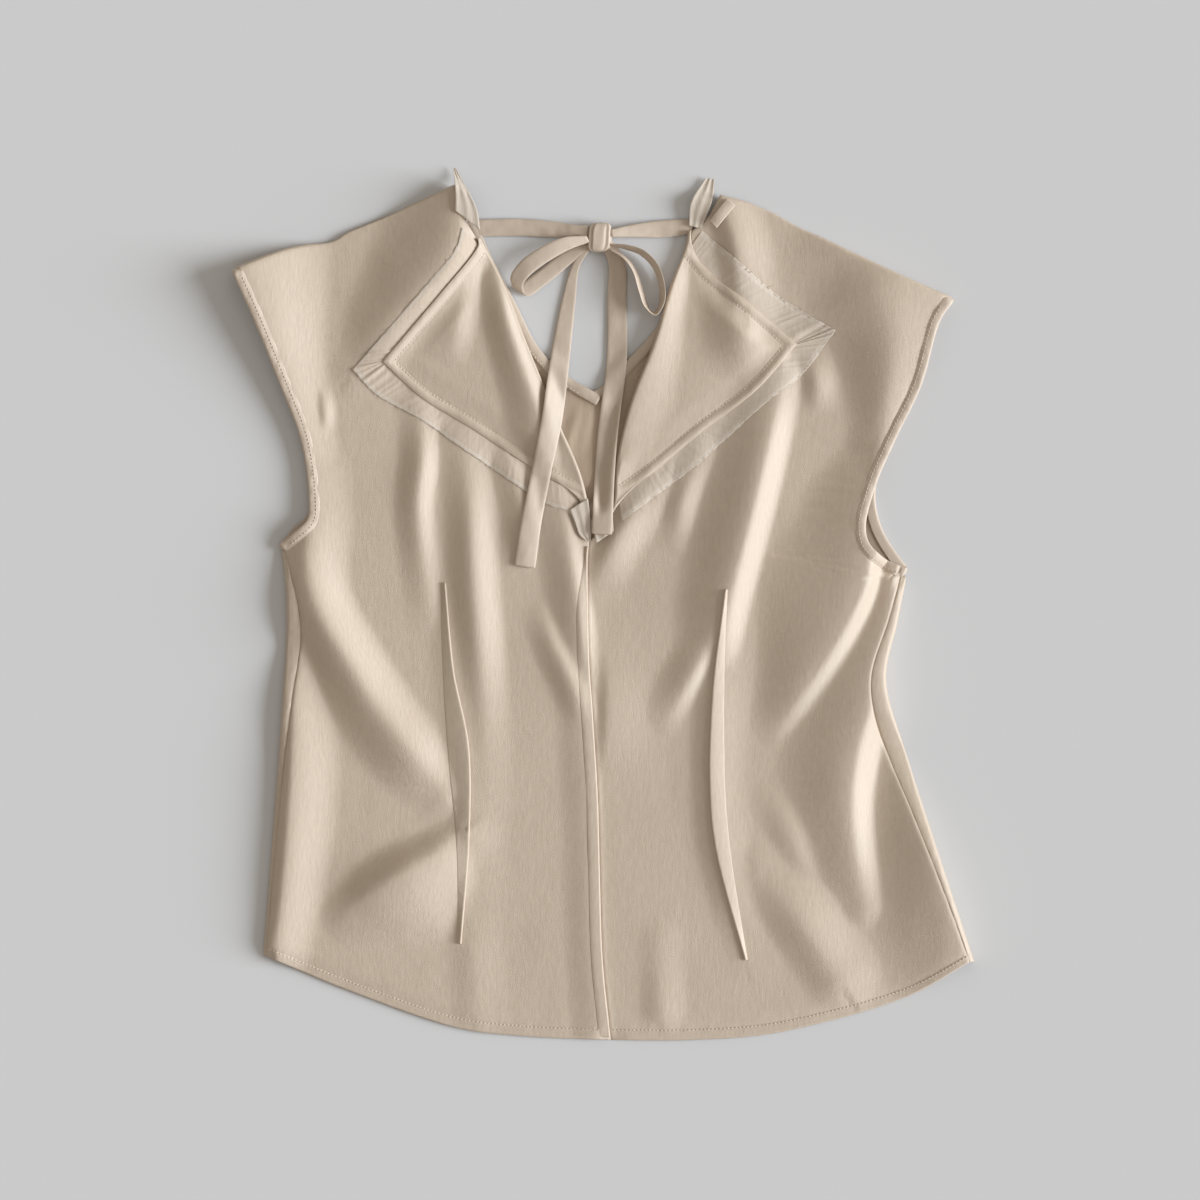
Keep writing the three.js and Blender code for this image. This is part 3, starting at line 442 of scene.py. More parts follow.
def noise(points, size, seed):
    """Soft seeded noise between -1 and 1 at plan points."""
    lattice = np.random.default_rng(seed).uniform(-1, 1, (64, 64))
    place = points[..., :2] / size
    cell = np.floor(place).astype(int)
    part = place - cell
    part = part * part * (3 - 2 * part)
    i, j = cell[..., 0] % 64, cell[..., 1] % 64
    i2, j2 = (i + 1) % 64, (j + 1) % 64
    low = lattice[i, j] * (1 - part[..., 0]) + lattice[i2, j] * part[..., 0]
    high = lattice[i, j2] * (1 - part[..., 0]) + lattice[i2, j2] * part[..., 0]
    return low * (1 - part[..., 1]) + high * part[..., 1]


# The rise of folds

CREST_EASE = 0.16
HEM_PRESS = 1.3


def spread_of(value):
    """One spread for a whole crest, or several along it."""
    return profile([value, value] if np.isscalar(value) else value)


def fold_height(points, folds):
    """The rise of folds at plan points. Where folds meet, the higher leads and they run together softly."""
    rises = []
    for fold in folds:
        distance, along, right = nearest(points, curve(fold["crest"])(np.linspace(0, 1, 30)))
        away = distance / np.where(right, spread_of(fold["right"])(along), spread_of(fold["left"])(along))
        rise = np.maximum(profile(fold["rise"])(along), 0)
        full = math.sqrt(1 + CREST_EASE**2) - CREST_EASE
        eased = (np.sqrt(np.minimum(away, 1) ** 2 + CREST_EASE**2) - CREST_EASE) / full
        rises.append(np.where(away < 1, rise * (1 - eased) ** 2 * (1 + eased), 0))
    return (np.array(rises) ** 3).sum(0) ** (1 / 3)


HEMS = edges_of(HEM)
HEM_LINES = [HEMS[side](np.linspace(0, 1, 40)) for side in SIDES]


def front_height(plan):
    """The middle of the fronts' cloth at plan points of any shape."""
    height = FRONT_REST + fold_height(plan, FOLDS)
    for line in HEM_LINES:
        height -= HEM_PRESS * (1 - smooth(0, 16, distance_to(plan, line)))
    return height + 0.25 * noise(plan, 42, 3)


# What lies on what: the top of the cloth so far, in cells of one millimetre

RELIEF_X, RELIEF_Y = -300, -350
RELIEF_SHAPE = (700, 600)
relief_top = np.zeros(RELIEF_SHAPE)


def lay_down(grid, wall):
    """Marks the top of a grid of middle points in the relief."""
    step = max(
        np.abs(np.diff(grid[..., :2], axis=0)).max(initial=0),
        np.abs(np.diff(grid[..., :2], axis=1)).max(initial=0),
    )
    parts = int(np.ceil(step / 0.7)) + 1
    share = np.linspace(0, 1, parts)
    a, b, c, d = grid[:-1, :-1], grid[:-1, 1:], grid[1:, :-1], grid[1:, 1:]
    for s in share:
        for t in share:
            p = a * (1 - s) * (1 - t) + b * (1 - s) * t + c * s * (1 - t) + d * s * t
            i = np.clip((p[..., 1] - RELIEF_Y).astype(int), 0, RELIEF_SHAPE[0] - 1)
            j = np.clip((p[..., 0] - RELIEF_X).astype(int), 0, RELIEF_SHAPE[1] - 1)
            np.maximum.at(relief_top, (i, j), p[..., 2] + wall / 2)


def top_under(grid, reach=3, soften=True):
    """The height that a cloth takes over the relief: never lower than what is within reach of it."""
    field = relief_top.copy()
    for _ in range(reach):
        spread = field.copy()
        for axis in (0, 1):
            for way in (1, -1):
                np.maximum(spread, np.roll(field, way, axis), out=spread)
        field = spread
    if soften:
        for _ in range(max(1, reach - 1)):
            for axis in (0, 1):
                field = (np.roll(field, 1, axis) + field + np.roll(field, -1, axis)) / 3
    x = np.clip(grid[..., 0] - RELIEF_X - 0.5, 0, RELIEF_SHAPE[1] - 2)
    y = np.clip(grid[..., 1] - RELIEF_Y - 0.5, 0, RELIEF_SHAPE[0] - 2)
    j, i = x.astype(int), y.astype(int)
    s, t = x - j, y - i
    return (
        field[i, j] * (1 - s) * (1 - t) + field[i, j + 1] * s * (1 - t)
        + field[i + 1, j] * (1 - s) * t + field[i + 1, j + 1] * s * t
    )


# Meshes


def mesh_object(name, points, faces, material, slot, lining=None, inner=()):
    """A piece from points in millimetres. The faces numbered in inner take the lining's material."""
    points = np.asarray(points, float)
    faces = [list(f) for f in faces]
    used = np.unique(np.concatenate([np.array(f) for f in faces]))
    renamed = np.full(len(points), -1)
    renamed[used] = np.arange(len(used))
    points = points[used]
    faces = [[int(renamed[k]) for k in f] for f in faces]
    fan = np.array([(f[0], f[k], f[k + 1]) for f in faces for k in range(1, len(f) - 1)])
    a, b, c = points[fan[:, 0]], points[fan[:, 1]], points[fan[:, 2]]
    if np.einsum("ij,ij->", a, np.cross(b, c)) < 0:
        faces = [f[::-1] for f in faces]
    mesh = bpy.data.meshes.new(name)
    mesh.from_pydata((points * MM).tolist(), [], faces)
    mesh.materials.append(material)
    if lining is not None:
        mesh.materials.append(lining)
        index = np.zeros(len(faces), int)
        index[list(inner)] = 1
        mesh.polygons.foreach_set("material_index", index)
    mesh.polygons.foreach_set("use_smooth", [True] * len(faces))
    mesh.update()
    obj = bpy.data.objects.new(name, mesh)
    bpy.context.collection.objects.link(obj)
    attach(obj, "root")
    return obj


def grid_normals(grid, loop=False):
    """Unit normals of a grid, up where its columns run to the right and its rows away from the hem."""
    along = np.roll(grid, -1, 0) - np.roll(grid, 1, 0) if loop else np.gradient(grid, axis=0)
    return unit(np.cross(np.gradient(grid, axis=1), along))


def shell(name, grid, wall, material, slot, loop=False, kept=None, out=None, lining=None, frayed=None):
    """A closed sheet of cloth with a rounded rim round a grid of middle points.

    The lining is on its lower side. The frayed material is on its last three columns of cells.
    """
    rows, columns = grid.shape[:2]
    out = grid_normals(grid, loop) if out is None else out
    half = np.broadcast_to(np.asarray(wall, float), (rows, columns))[..., None] / 2
    number = np.arange(rows * columns).reshape(rows, columns)
    if loop:
        number = np.vstack([number, number[:1]])
    quads = np.stack([number[:-1, :-1], number[:-1, 1:], number[1:, 1:], number[1:, :-1]], -1)
    quads = quads.reshape(-1, 4) if kept is None else quads[kept]
    side = rows * columns
    edges = np.concatenate([quads[:, [k, (k + 1) % 4]] for k in range(4)])
    code = edges[:, 0] * side + edges[:, 1]
    edges = edges[~np.isin(code, edges[:, 1] * side + edges[:, 0])]
    flat, normals = grid.reshape(-1, 3), out.reshape(-1, 3)
    outward = np.zeros_like(flat)
    for p, q in ((0, 1), (1, 0)):
        way = unit(np.cross(flat[edges[:, 1]] - flat[edges[:, 0]], normals[edges[:, p]]))
        np.add.at(outward, edges[:, p], way)
    rim_at = flat + unit(outward) * half.reshape(-1, 1) * 0.9
    points = np.concatenate([(grid + out * half).reshape(-1, 3), (grid - out * half).reshape(-1, 3), rim_at])
    p, q = edges[:, 0], edges[:, 1]
    rim = np.concatenate([
        np.stack([q, p, p + 2 * side, q + 2 * side], -1),
        np.stack([q + 2 * side, p + 2 * side, p + side, q + side], -1),
    ])
    faces = np.concatenate([quads, rim, quads[:, ::-1] + side])
    if frayed is not None:
        at_raw_edge = np.flatnonzero(faces.min(1) % side % columns >= columns - 4)
        return mesh_object(name, points, faces, material, slot, frayed, at_raw_edge)
    inner = range(len(quads) + len(rim), len(faces)) if lining is not None else ()
    return mesh_object(name, points, faces, material, slot, lining, inner)


def piece_for(node, name, grid, wall, material, slot="satin", **more):
    """A sheet of cloth that stands for a solid of the frame."""
    piece = shell(name, grid, wall, material, slot, **more)
    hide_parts(node)
    return piece


def surface_of(obj):
    """Height of a piece's top at a plan point in millimetres, or None beside it."""
    corners = [vertex.co.copy() for vertex in obj.data.vertices]
    tree = BVHTree.FromPolygons(corners, [list(face.vertices) for face in obj.data.polygons])

    def at(x, y):
        place = tree.ray_cast(Vector((x * MM, y * MM, 0.3)), Vector((0, 0, -1)))[0]
        return None if place is None else place.z / MM

    return at


def on_top(tops, x, y):
    """Height of the first piece that lies under a plan point, or None beside them all."""
    for top in tops:
        hit = top(x, y)
        if hit is not None:
            return hit
    return None


def tube_faces(start, rings, sides):
    """Faces of a closed tube whose rings of points follow one another from a starting number."""
    faces = []
    for ring in range(rings - 1):
        for k in range(sides):
            a = start + ring * sides + k
            b = start + ring * sides + (k + 1) % sides
            faces.append([a, b, b + sides, a + sides])
    faces.append([start + k for k in range(sides)][::-1])
    faces.append([start + (rings - 1) * sides + k for k in range(sides)])
    return faces


# One stitch: the place of each ring along it, its thickness, and its rise, so that it dips at both ends
STITCH_RINGS = [
    (-0.5, 0.25, -0.55), (-0.4, 0.8, -0.1), (-0.15, 1.0, 0.25), (0.15, 1.0, 0.25), (0.4, 0.8, -0.1),
    (0.5, 0.25, -0.55),
]
STITCH_SIDES = 6
THREAD_SIDES = 4
THREAD_SEGMENTS = 5
THREAD_LIFT = 0.15


def stitches(name, lines, pieces, material):
    """Rows of stitches along plan lines, on the first of the pieces that lies under each of them."""
    tops = [surface_of(piece) for piece in pieces]
    points, faces = [], []
    for line in lines:
        length = length_of(line)
        for share in np.arange(0.5, int(length / STITCH_PITCH)) * STITCH_PITCH / length:
            place, heading = line_at(line, share)
            ends = []
            for step in (-0.5, 0.5):
                x, y = place + heading * STITCH_LENGTH * step
                ends.append((x, y, on_top(tops, x, y)))
            if any(end[2] is None for end in ends):
                continue
            first, last = np.array(ends)
            middle = (first + last) / 2
            along = unit(last - first)
            across = unit(np.cross([0, 0, 1], along))
            up = np.cross(along, across)
            faces += tube_faces(len(points), len(STITCH_RINGS), STITCH_SIDES)
            for at, width, rise in STITCH_RINGS:
                for angle in 2 * math.pi * np.arange(STITCH_SIDES) / STITCH_SIDES:
                    ring = (across * math.cos(angle) + up * math.sin(angle)) * width + up * (rise + 0.3)
                    points.append(middle + along * at * STITCH_LENGTH + ring * STITCH_RADIUS)
    return mesh_object(name, points, faces, material, "bound_satin")


def line_at(line, share):
    """Place and heading at a share of the length of a line of plan points."""
    step = np.linalg.norm(np.diff(line, axis=0), axis=1)
    length = np.concatenate([[0], np.cumsum(step)])
    s = share * length[-1]
    k = min(len(step) - 1, int(np.searchsorted(length, s, side="right")) - 1)
    heading = (line[k + 1] - line[k]) / max(step[k], 1e-9)
    return line[k] + heading * (s - length[k]), heading


def threads(name, starts, headings, lengths, pieces, material, slot, seed):
    """Loose threads that leave a raw edge, each a thin bent tube that lies on the cloth."""
    draw = np.random.default_rng(seed)
    tops = [surface_of(piece) for piece in pieces]
    points, faces = [], []
    for (x, y), heading, length in zip(starts, headings, lengths):
        bend = draw.uniform(-0.35, 0.35)
        direction = math.atan2(heading[1], heading[0]) + draw.uniform(-0.45, 0.45)
        faces += tube_faces(len(points), THREAD_SEGMENTS + 1, THREAD_SIDES)
        height = -1.0
        for k in range(THREAD_SEGMENTS + 1):
            resting = (on_top(tops, x, y) or 0.0) + THREAD_LIFT + THREAD_RADIUS
            height = max(resting, height - 0.5)
            thick = THREAD_RADIUS * (1 - 0.6 * k / THREAD_SEGMENTS)
            for angle in 2 * math.pi * np.arange(THREAD_SIDES) / THREAD_SIDES:
                wide = thick * math.cos(angle)
                points.append([
                    x - math.sin(direction) * wide,
                    y + math.cos(direction) * wide,
                    height + thick * math.sin(angle),
                ])
            direction += bend / THREAD_SEGMENTS * 2
            x += math.cos(direction) * length / THREAD_SEGMENTS
            y += math.sin(direction) * length / THREAD_SEGMENTS
    return mesh_object(name, points, faces, material, slot)


def patch(left, right, bottom, top, u, v):
    """Plan points between four edges: u runs left to right, v from the hem up."""
    across, up = u[None, :, None], v[:, None, None]
    edges = (1 - across) * left(v)[:, None] + across * right(v)[:, None]
    edges = edges + (1 - up) * bottom(u)[None] + up * top(u)[None]
    low = (1 - across) * bottom(0.0) + across * bottom(1.0)
    high = (1 - across) * top(0.0) + across * top(1.0)
    return edges - (1 - up) * low - up * high


def fitted(line, start, end):
    """The curve shifted so that its ends meet the points given."""

    def at(u):
        u = np.asarray(u, float)[..., None]
        return line(u[..., 0]) + (1 - u) * (start - line(0.0)) + u * (end - line(1.0))

    return at


def with_height(plan, height):
    """Plan points with their height."""
    return np.concatenate([plan, np.broadcast_to(height, plan.shape[:-1])[..., None]], -1)


def settle(height, times, axes=(0, 1)):
    """Heights softened over a grid, a number of times."""
    for _ in range(times):
        for axis in axes:
            padded = np.concatenate([height.take([0], axis), height, height.take([-1], axis)], axis)
            low = padded.take(range(0, padded.shape[axis] - 2), axis)
            high = padded.take(range(2, padded.shape[axis]), axis)
            height = (low + 2 * height + high) / 4
    return height


# Materials


def node_group(name, inputs, outputs):
    """An empty shader node group with named sockets, its input node and its output node."""
    tree = bpy.data.node_groups.new(name, "ShaderNodeTree")
    for label, kind, value in inputs:
        socket = tree.interface.new_socket(name=label, in_out="INPUT", socket_type=kind)
        if value is not None:
            socket.default_value = value
    for label, kind in outputs:
        tree.interface.new_socket(name=label, in_out="OUTPUT", socket_type=kind)
    return tree, tree.nodes.new("NodeGroupInput"), tree.nodes.new("NodeGroupOutput")


def math_node(tree, operation, a, b=None, c=None):
    """One step of arithmetic in a material."""
    node = tree.nodes.new("ShaderNodeMath")
    node.operation = operation
    for k, value in enumerate((a, b, c)):
        if value is None:
            continue
        if isinstance(value, (int, float)):
            node.inputs[k].default_value = value
        else:
            tree.links.new(value, node.inputs[k])
    return node.outputs[0]


def stretched_noise(tree, scale, detail, stretch):
    """Noise on the piece's own coordinates, stretched along X, Y and Z."""
    place = tree.nodes.new("ShaderNodeTexCoord").outputs["Object"]
    mapping = tree.nodes.new("ShaderNodeMapping")
    mapping.inputs["Scale"].default_value = stretch
    tree.links.new(place, mapping.inputs["Vector"])
    node = tree.nodes.new("ShaderNodeTexNoise")
    tree.links.new(mapping.outputs[0], node.inputs["Vector"])
    node.inputs["Detail"].default_value = detail
    if isinstance(scale, (int, float)):
        node.inputs["Scale"].default_value = scale
    else:
        tree.links.new(scale, node.inputs["Scale"])
    return node.outputs["Fac"]


def make_satin_weave():
    """Fine threads of the satin with slubs along the cloth: a height, and a mask of the thread's shine."""
    tree, given, made = node_group(
        "satin_weave",
        [("Threads", "NodeSocketFloat", 900.0), ("Slub", "NodeSocketFloat", 0.5)],
        [("Height", "NodeSocketFloat"), ("Shine", "NodeSocketFloat")],
    )
    place = tree.nodes.new("ShaderNodeTexCoord").outputs["Object"]
    wave = tree.nodes.new("ShaderNodeTexWave")
    wave.bands_direction = "DIAGONAL"
    wave.inputs["Distortion"].default_value = 1.5
    wave.inputs["Detail"].default_value = 1.0
    tree.links.new(place, wave.inputs["Vector"])
    tree.links.new(given.outputs["Threads"], wave.inputs["Scale"])
    slub = stretched_noise(tree, 430.0, 2.0, (1.0, 0.3, 1.0))
    slub_part = math_node(tree, "MULTIPLY", slub, given.outputs["Slub"])
    height = math_node(tree, "MULTIPLY_ADD", wave.outputs["Fac"], 0.3, slub_part)
    tree.links.new(height, made.inputs["Height"])
    tree.links.new(slub, made.inputs["Shine"])
    return tree


def make_cloth_tone():
    """Slow unevenness of the dye and soft press marks, as a mask round one half and a height."""
    tree, given, made = node_group(
        "cloth_tone",
        [("Size", "NodeSocketFloat", 9.0), ("Crinkle", "NodeSocketFloat", 1.0)],
        [("Tone", "NodeSocketFloat"), ("Height", "NodeSocketFloat")],
    )
    slow = stretched_noise(tree, given.outputs["Size"], 3.0, (1.0, 0.6, 1.0))
    crinkle = stretched_noise(tree, 46.0, 3.0, (1.0, 0.35, 1.0))
    tree.links.new(slow, made.inputs["Tone"])
    tree.links.new(math_node(tree, "MULTIPLY", crinkle, given.outputs["Crinkle"]), made.inputs["Height"])
    return tree


SATIN_WEAVE = make_satin_weave()
CLOTH_TONE = make_cloth_tone()
TONE_SIZE = 9.0
WEAVE_BUMP = 0.0006


def place_group(tree, group, **values):
    """A group in a material, with the material's own values."""
    node = tree.nodes.new("ShaderNodeGroup")
    node.node_tree = group
    for name, value in values.items():
        node.inputs[name].default_value = value
    return node


def cloth_material(name, light, dark, roughness, shine, threads, slub, depth, crinkle, sheen, ior=2.3):
    """A woven cloth: two tones by its unevenness, roughness by the thread's shine, and its weave as bump."""
    material = bpy.data.materials.new(name)
    material.use_nodes = True
    tree = material.node_tree
    shader = tree.nodes["Principled BSDF"]
    weave = place_group(tree, SATIN_WEAVE, Threads=threads, Slub=slub)
    tone = place_group(tree, CLOTH_TONE, Size=TONE_SIZE, Crinkle=crinkle)
    colour = tree.nodes.new("ShaderNodeMix")
    colour.data_type = "RGBA"
    colour.inputs["A"].default_value = (*dark, 1)
    colour.inputs["B"].default_value = (*light, 1)
    share = tree.nodes.new("ShaderNodeMapRange")
    share.inputs["From Min"].default_value = 0.3
    share.inputs["From Max"].default_value = 0.7
    slow = math_node(tree, "MULTIPLY", tone.outputs["Tone"], 0.4)
    tree.links.new(math_node(tree, "MULTIPLY_ADD", weave.outputs["Shine"], 0.6, slow), share.inputs["Value"])
    tree.links.new(share.outputs[0], colour.inputs["Factor"])
    tree.links.new(colour.outputs["Result"], shader.inputs["Base Color"])
    rough = math_node(tree, "MULTIPLY_ADD", weave.outputs["Shine"], shine, roughness)
    tree.links.new(rough, shader.inputs["Roughness"])
    height = math_node(tree, "MULTIPLY_ADD", weave.outputs["Height"], depth, tone.outputs["Height"])
    bump = tree.nodes.new("ShaderNodeBump")
    bump.inputs["Strength"].default_value = 0.5
    bump.inputs["Distance"].default_value = WEAVE_BUMP
    tree.links.new(height, bump.inputs["Height"])
    tree.links.new(bump.outputs["Normal"], shader.inputs["Normal"])
    shader.inputs["IOR"].default_value = ior
    shader.inputs["Sheen Weight"].default_value = sheen
    shader.inputs["Sheen Roughness"].default_value = 0.4
    return material


FINE = dict(threads=900, sheen=0.1)
RAW = dict(shine=0.1, threads=700, slub=0.9, depth=1.0, crinkle=0.5, sheen=0.2, ior=1.6)
SATIN = cloth_material(
    "satin", (0.53, 0.42, 0.302), (0.465, 0.348, 0.24), 0.62, 0.12, slub=0.8, depth=1.0, crinkle=0.12,
    ior=2.5, **FINE,
)
SATIN_WRONG_SIDE = cloth_material(
    "satin_wrong_side", (0.51, 0.40, 0.29), (0.46, 0.35, 0.25), 0.70, 0.1, slub=0.7, depth=0.9, crinkle=0.3,
    ior=1.7, **FINE,
)
BOUND_SATIN = cloth_material(
    "bound_satin", (0.55, 0.44, 0.33), (0.49, 0.38, 0.278), 0.62, 0.12, slub=0.6, depth=0.8, crinkle=0.15,
    **FINE,
)
RAW_TRIM = cloth_material("raw_trim", (0.61, 0.505, 0.405), (0.54, 0.435, 0.335), 0.78, **RAW)
RAW_EDGE = cloth_material("raw_edge", (0.66, 0.58, 0.49), (0.58, 0.50, 0.41), 0.8, **RAW)
RAW_TRIM_ALONE = cloth_material("raw_trim_alone", (0.64, 0.56, 0.47), (0.58, 0.50, 0.41), 0.78, **RAW)
RAW_TRIM_PALE = cloth_material("raw_trim_pale", (0.63, 0.54, 0.445), (0.56, 0.465, 0.37), 0.78, **RAW)
RAW_TRIMS = dict(left=RAW_TRIM, right=RAW_TRIM_PALE)
SEWING_THREAD = cloth_material(
    "sewing_thread", (0.65, 0.55, 0.44), (0.58, 0.48, 0.37), 0.6, 0.1, threads=2500, slub=0.3, depth=0.5,
    crinkle=0.2, sheen=0.1,
)


# Panels

side_edges, rolls, shoulders = edges_of(SIDE), edges_of(ROLL), edges_of(SHOULDER)
armholes, back_armholes = edges_of(ARMHOLE), edges_of(BACK_ARMHOLE)
neck_edges, back_vs = edges_of(NECK_EDGE), edges_of(BACK_V)
middle = curve(MIDDLE_SEAM)

ROWS = np.concatenate([
    np.linspace(0, 0.022, 12),
    np.linspace(0.022, UNDERARM - 0.003, 126)[1:],
    np.linspace(UNDERARM, NECK, 92),
    np.linspace(NECK, 1, 14)[1:],
])


def side_seam(side):
    """Where a front is sewn to the turned edge of the back."""
    inset = profile(SEAM_INSET[side])
    return lambda t: side_edges[side](t) - AWAY[side] * np.stack([inset(t), 0 * np.asarray(t)], -1)


seams = {side: side_seam(side) for side in SIDES}


def line_of(path, start=0.0, end=1.0, count=80):
    """Evenly spaced points along a curve."""
    return path(np.linspace(start, end, count))


def front_inner(side):
    """The front's edge by the neck: up the middle seam, along the lapel's roll, then the neck edge."""

    def in_roll(t):
        turned = np.minimum(1, np.asarray(t, float) / LAPEL_START)
        inset = SEAM_GAP / 2 + turned * (ROLL_RADIUS + 1.0)
        return rolls[side](t) + AWAY[side] * np.stack([inset, 0 * turned], -1)

    upper = joined(in_roll, neck_edges[side], (NECK - UNDERARM) / (1 - UNDERARM))
    return joined(beside(middle, -AWAY[side] * SEAM_GAP / 2), upper, UNDERARM)


def front_plan(side, u, v):
    """The plan of a front between its side, hem, neck and shoulder edges."""
    outer = joined(seams[side], beside(armholes[side], AWAY[side] * IN_BINDING), UNDERARM)
    inner = front_inner(side)
    top = shoulders[side]
    left, right = outer, inner
    if side == "right":
        left, right = inner, outer
        top = lambda share: shoulders[side](1 - np.asarray(share, float))
    bottom = fitted(HEMS[side], left(0.0), right(0.0))
    return patch(left, right, bottom, fitted(top, left(1.0), right(1.0)), u, v)


def seam_puckers(points, line, seed, depth, reach):
    """Short slanting ripples that a row of stitching pulls into the cloth beside it."""
    distance, along, _ = nearest(points, line)
    phase = np.random.default_rng(seed).uniform(0, 6.28, 3)
    s = along * length_of(line) + distance * 0.35
    wave = np.sin(s / 1.5 + phase[0]) * 0.5 + np.sin(s / 2.3 + phase[1]) + np.sin(s / 3.9 + phase[2])
    return depth * wave / 2.2 * np.exp(-((distance / reach) ** 2)) * smooth(0.1, 1.2, distance)


def groove(distance, depth, width):
    """A soft groove or, with a depth below zero, a ridge."""
    return -depth * np.exp(-((distance / width) ** 2))


def front_grid(side):
    """A front's cloth: its folds, and what sewing and wear add to them."""
    plan = front_plan(side, np.linspace(0, 1, 118), ROWS)
    seam, hem = line_of(seams[side]), line_of(HEMS[side])
    height = front_height(plan) + 0.10 * noise(plan * [1.0, 0.35], 12, 11)
    height += seam_puckers(plan, seam, 21, 0.16, 7)
    height += groove(distance_to(plan, seam), 0.25, 1.1)
    height += seam_puckers(plan, hem + [0, HEM_WIDTH], 22, 0.12, 4)
    height += groove(distance_to(plan, hem) - HEM_WIDTH, 0.2, 0.9)
    height += seam_puckers(plan, line_of(armholes[side]), 23, 0.25, 10)
    return with_height(plan, height)


def hem_wall(side, grid):
    """The wall of a front: two layers in the hem."""
    return SATIN_WALL + 0.6 * (1 - smooth(6.4, 7.2, distance_to(grid, line_of(HEMS[side]))))


def back_top(left_end, right_end):
    """The back's upper edge: a shoulder, the V of the neck a little below its binding, and a shoulder."""
    v_left, v_right = (beside(back_vs[side], -V_CUT) for side in SIDES)
    shoulder_left = curve([left_end, *SHOULDER["left"][1:-1], v_left(0.0)])
    shoulder_right = curve([v_right(1.0), *SHOULDER["right"][-2:0:-1], right_end])
    point = [(-8, 149)]
    down = curve([*v_left(np.linspace(0, 0.93, 7)), *point])
    up = curve([*point, *v_right(np.linspace(0.07, 1, 7))])
    vee = joined(down, up, 0.5)
    part = BACK_SHOULDER

    def at(u):
        u = np.asarray(u, float)
        neck = vee((u - part) / (1 - 2 * part))
        edge = np.where((u > 1 - part)[..., None], shoulder_right((u - 1 + part) / part), neck)
        return np.where((u < part)[..., None], shoulder_left(u / part), edge)

    return at


def back_side_turn(side, flat_edge):
    """The back's side edge below the underarm: up round the side and over to the side seam."""
    edge, sewn = (path(np.minimum(ROWS / UNDERARM, 1)) for path in (side_edges[side], seams[side]))
    turn = np.linspace(0, math.pi, 11)[:-1]
    top = front_height(sewn) - SATIN_WALL
    radius = np.clip((top - flat_edge[:, 2]) / 2, 0.5, None)
    centre = edge[:, 0] - AWAY[side] * (SIDE_RADIUS + SATIN_WALL / 2)
    x = centre[:, None] + AWAY[side] * np.sin(turn) * SIDE_RADIUS
    z = flat_edge[:, 2:3] + radius[:, None] * (1 + np.cos(turn))
    rounds = np.stack([x, np.broadcast_to(edge[:, 1:2], x.shape), z], -1)
    lead = np.linspace(0, 1, 6)[:-1][None, :]
    x = (sewn[:, 0:1] + AWAY[side] * SEAM_GAP) * (1 - lead) + centre[:, None] * lead
    lip = np.stack([x, np.broadcast_to(edge[:, 1:2], x.shape), np.broadcast_to(top[:, None], x.shape)], -1)
    lip[..., 2] += seam_puckers(lip, line_of(seams[side]), 24, 0.25, 5) + 0.5 * np.sin(lead * math.pi)
    block = np.concatenate([lip, rounds], 1)
    above = ROWS >= UNDERARM
    for k in range(block.shape[1]):
        block[above, k] = flat_edge[above] + [AWAY[side] * (block.shape[1] - k), 0, 0]
    return block if side == "left" else block[:, ::-1]


# Small tucks under the point of the back's V: plan start and end, height, width
INNER_CREASES = [
    ((-16, 150), (-30, 108), 1.6, 5.0),
    ((-9, 150), (-18, 112), 1.3, 4.0),
    ((-2, 146), (-6, 104), 1.0, 4.5),
    ((6, 152), (4, 112), 0.9, 5.0),
    ((-34, 152), (-40, 118), 1.0, 5.0),
]


def inner_creases(points):
    """The rise of the small tucks under the back's V."""
    rise = 0
    for start, end, height, width in INNER_CREASES:
        distance, along, _ = nearest(points, np.array([start, end], float))
        along = np.sin(np.pi * np.clip(along, 0, 1)) ** 0.7
        rise = rise + height * along * np.exp(-((distance / width) ** 2) * 1.6)
    return rise


def back_grid():
    """The back lies flat. Below the underarms its sides fold up and over to the side seams."""
    left, right = (
        joined(
            lambda t, side=side: side_edges[side](t) - [AWAY[side] * (SIDE_RADIUS + SATIN_WALL / 2), 0],
            beside(back_armholes[side], AWAY[side] * IN_BINDING),
            UNDERARM,
        )
        for side in SIDES
    )
    hem = fitted(joined(HEMS["left"], HEMS["right"], 0.5), left(0.0), right(0.0))
    top = fitted(back_top(left(1.0), right(1.0)), left(1.0), right(1.0))
    plan = patch(left, right, hem, top, np.linspace(0, 1, 161), ROWS)
    rise = 0.12 * (1 + noise(plan, 18, 31))
    for side in SIDES:
        rise += 0.85 * (1 - smooth(2, 16, distance_to(plan, line_of(back_armholes[side]))))
    for side in SIDES:
        rise += 0.75 * (1 - smooth(3, 14, distance_to(plan, line_of(back_vs[side]))))
    grid = with_height(plan, BACK_REST + rise + inner_creases(plan))
    turns = back_side_turn("left", grid[:, 0]), back_side_turn("right", grid[:, -1])
    return np.concatenate([turns[0], grid, turns[1]], 1), turns[0].shape[1]


def shoulder_turn(grid):
    """Rows that take the top of a front over the shoulder and down to the back."""
    top = grid[-1]
    heading = unit((top - grid[-3])[:, :2])
    ground = 1.0
    radius = np.maximum((top[:, 2] - ground) / 2, 0.6)
    rows = []
    for angle in np.linspace(0, math.pi * 0.92, 11)[1:]:
        bulge = heading * (np.minimum(radius, 2.6) * math.sin(angle))[:, None]
        rows.append(with_height(top[:, :2] + bulge, ground + radius * (1 + math.cos(angle))))
    return np.concatenate([grid, np.array(rows)], 0)


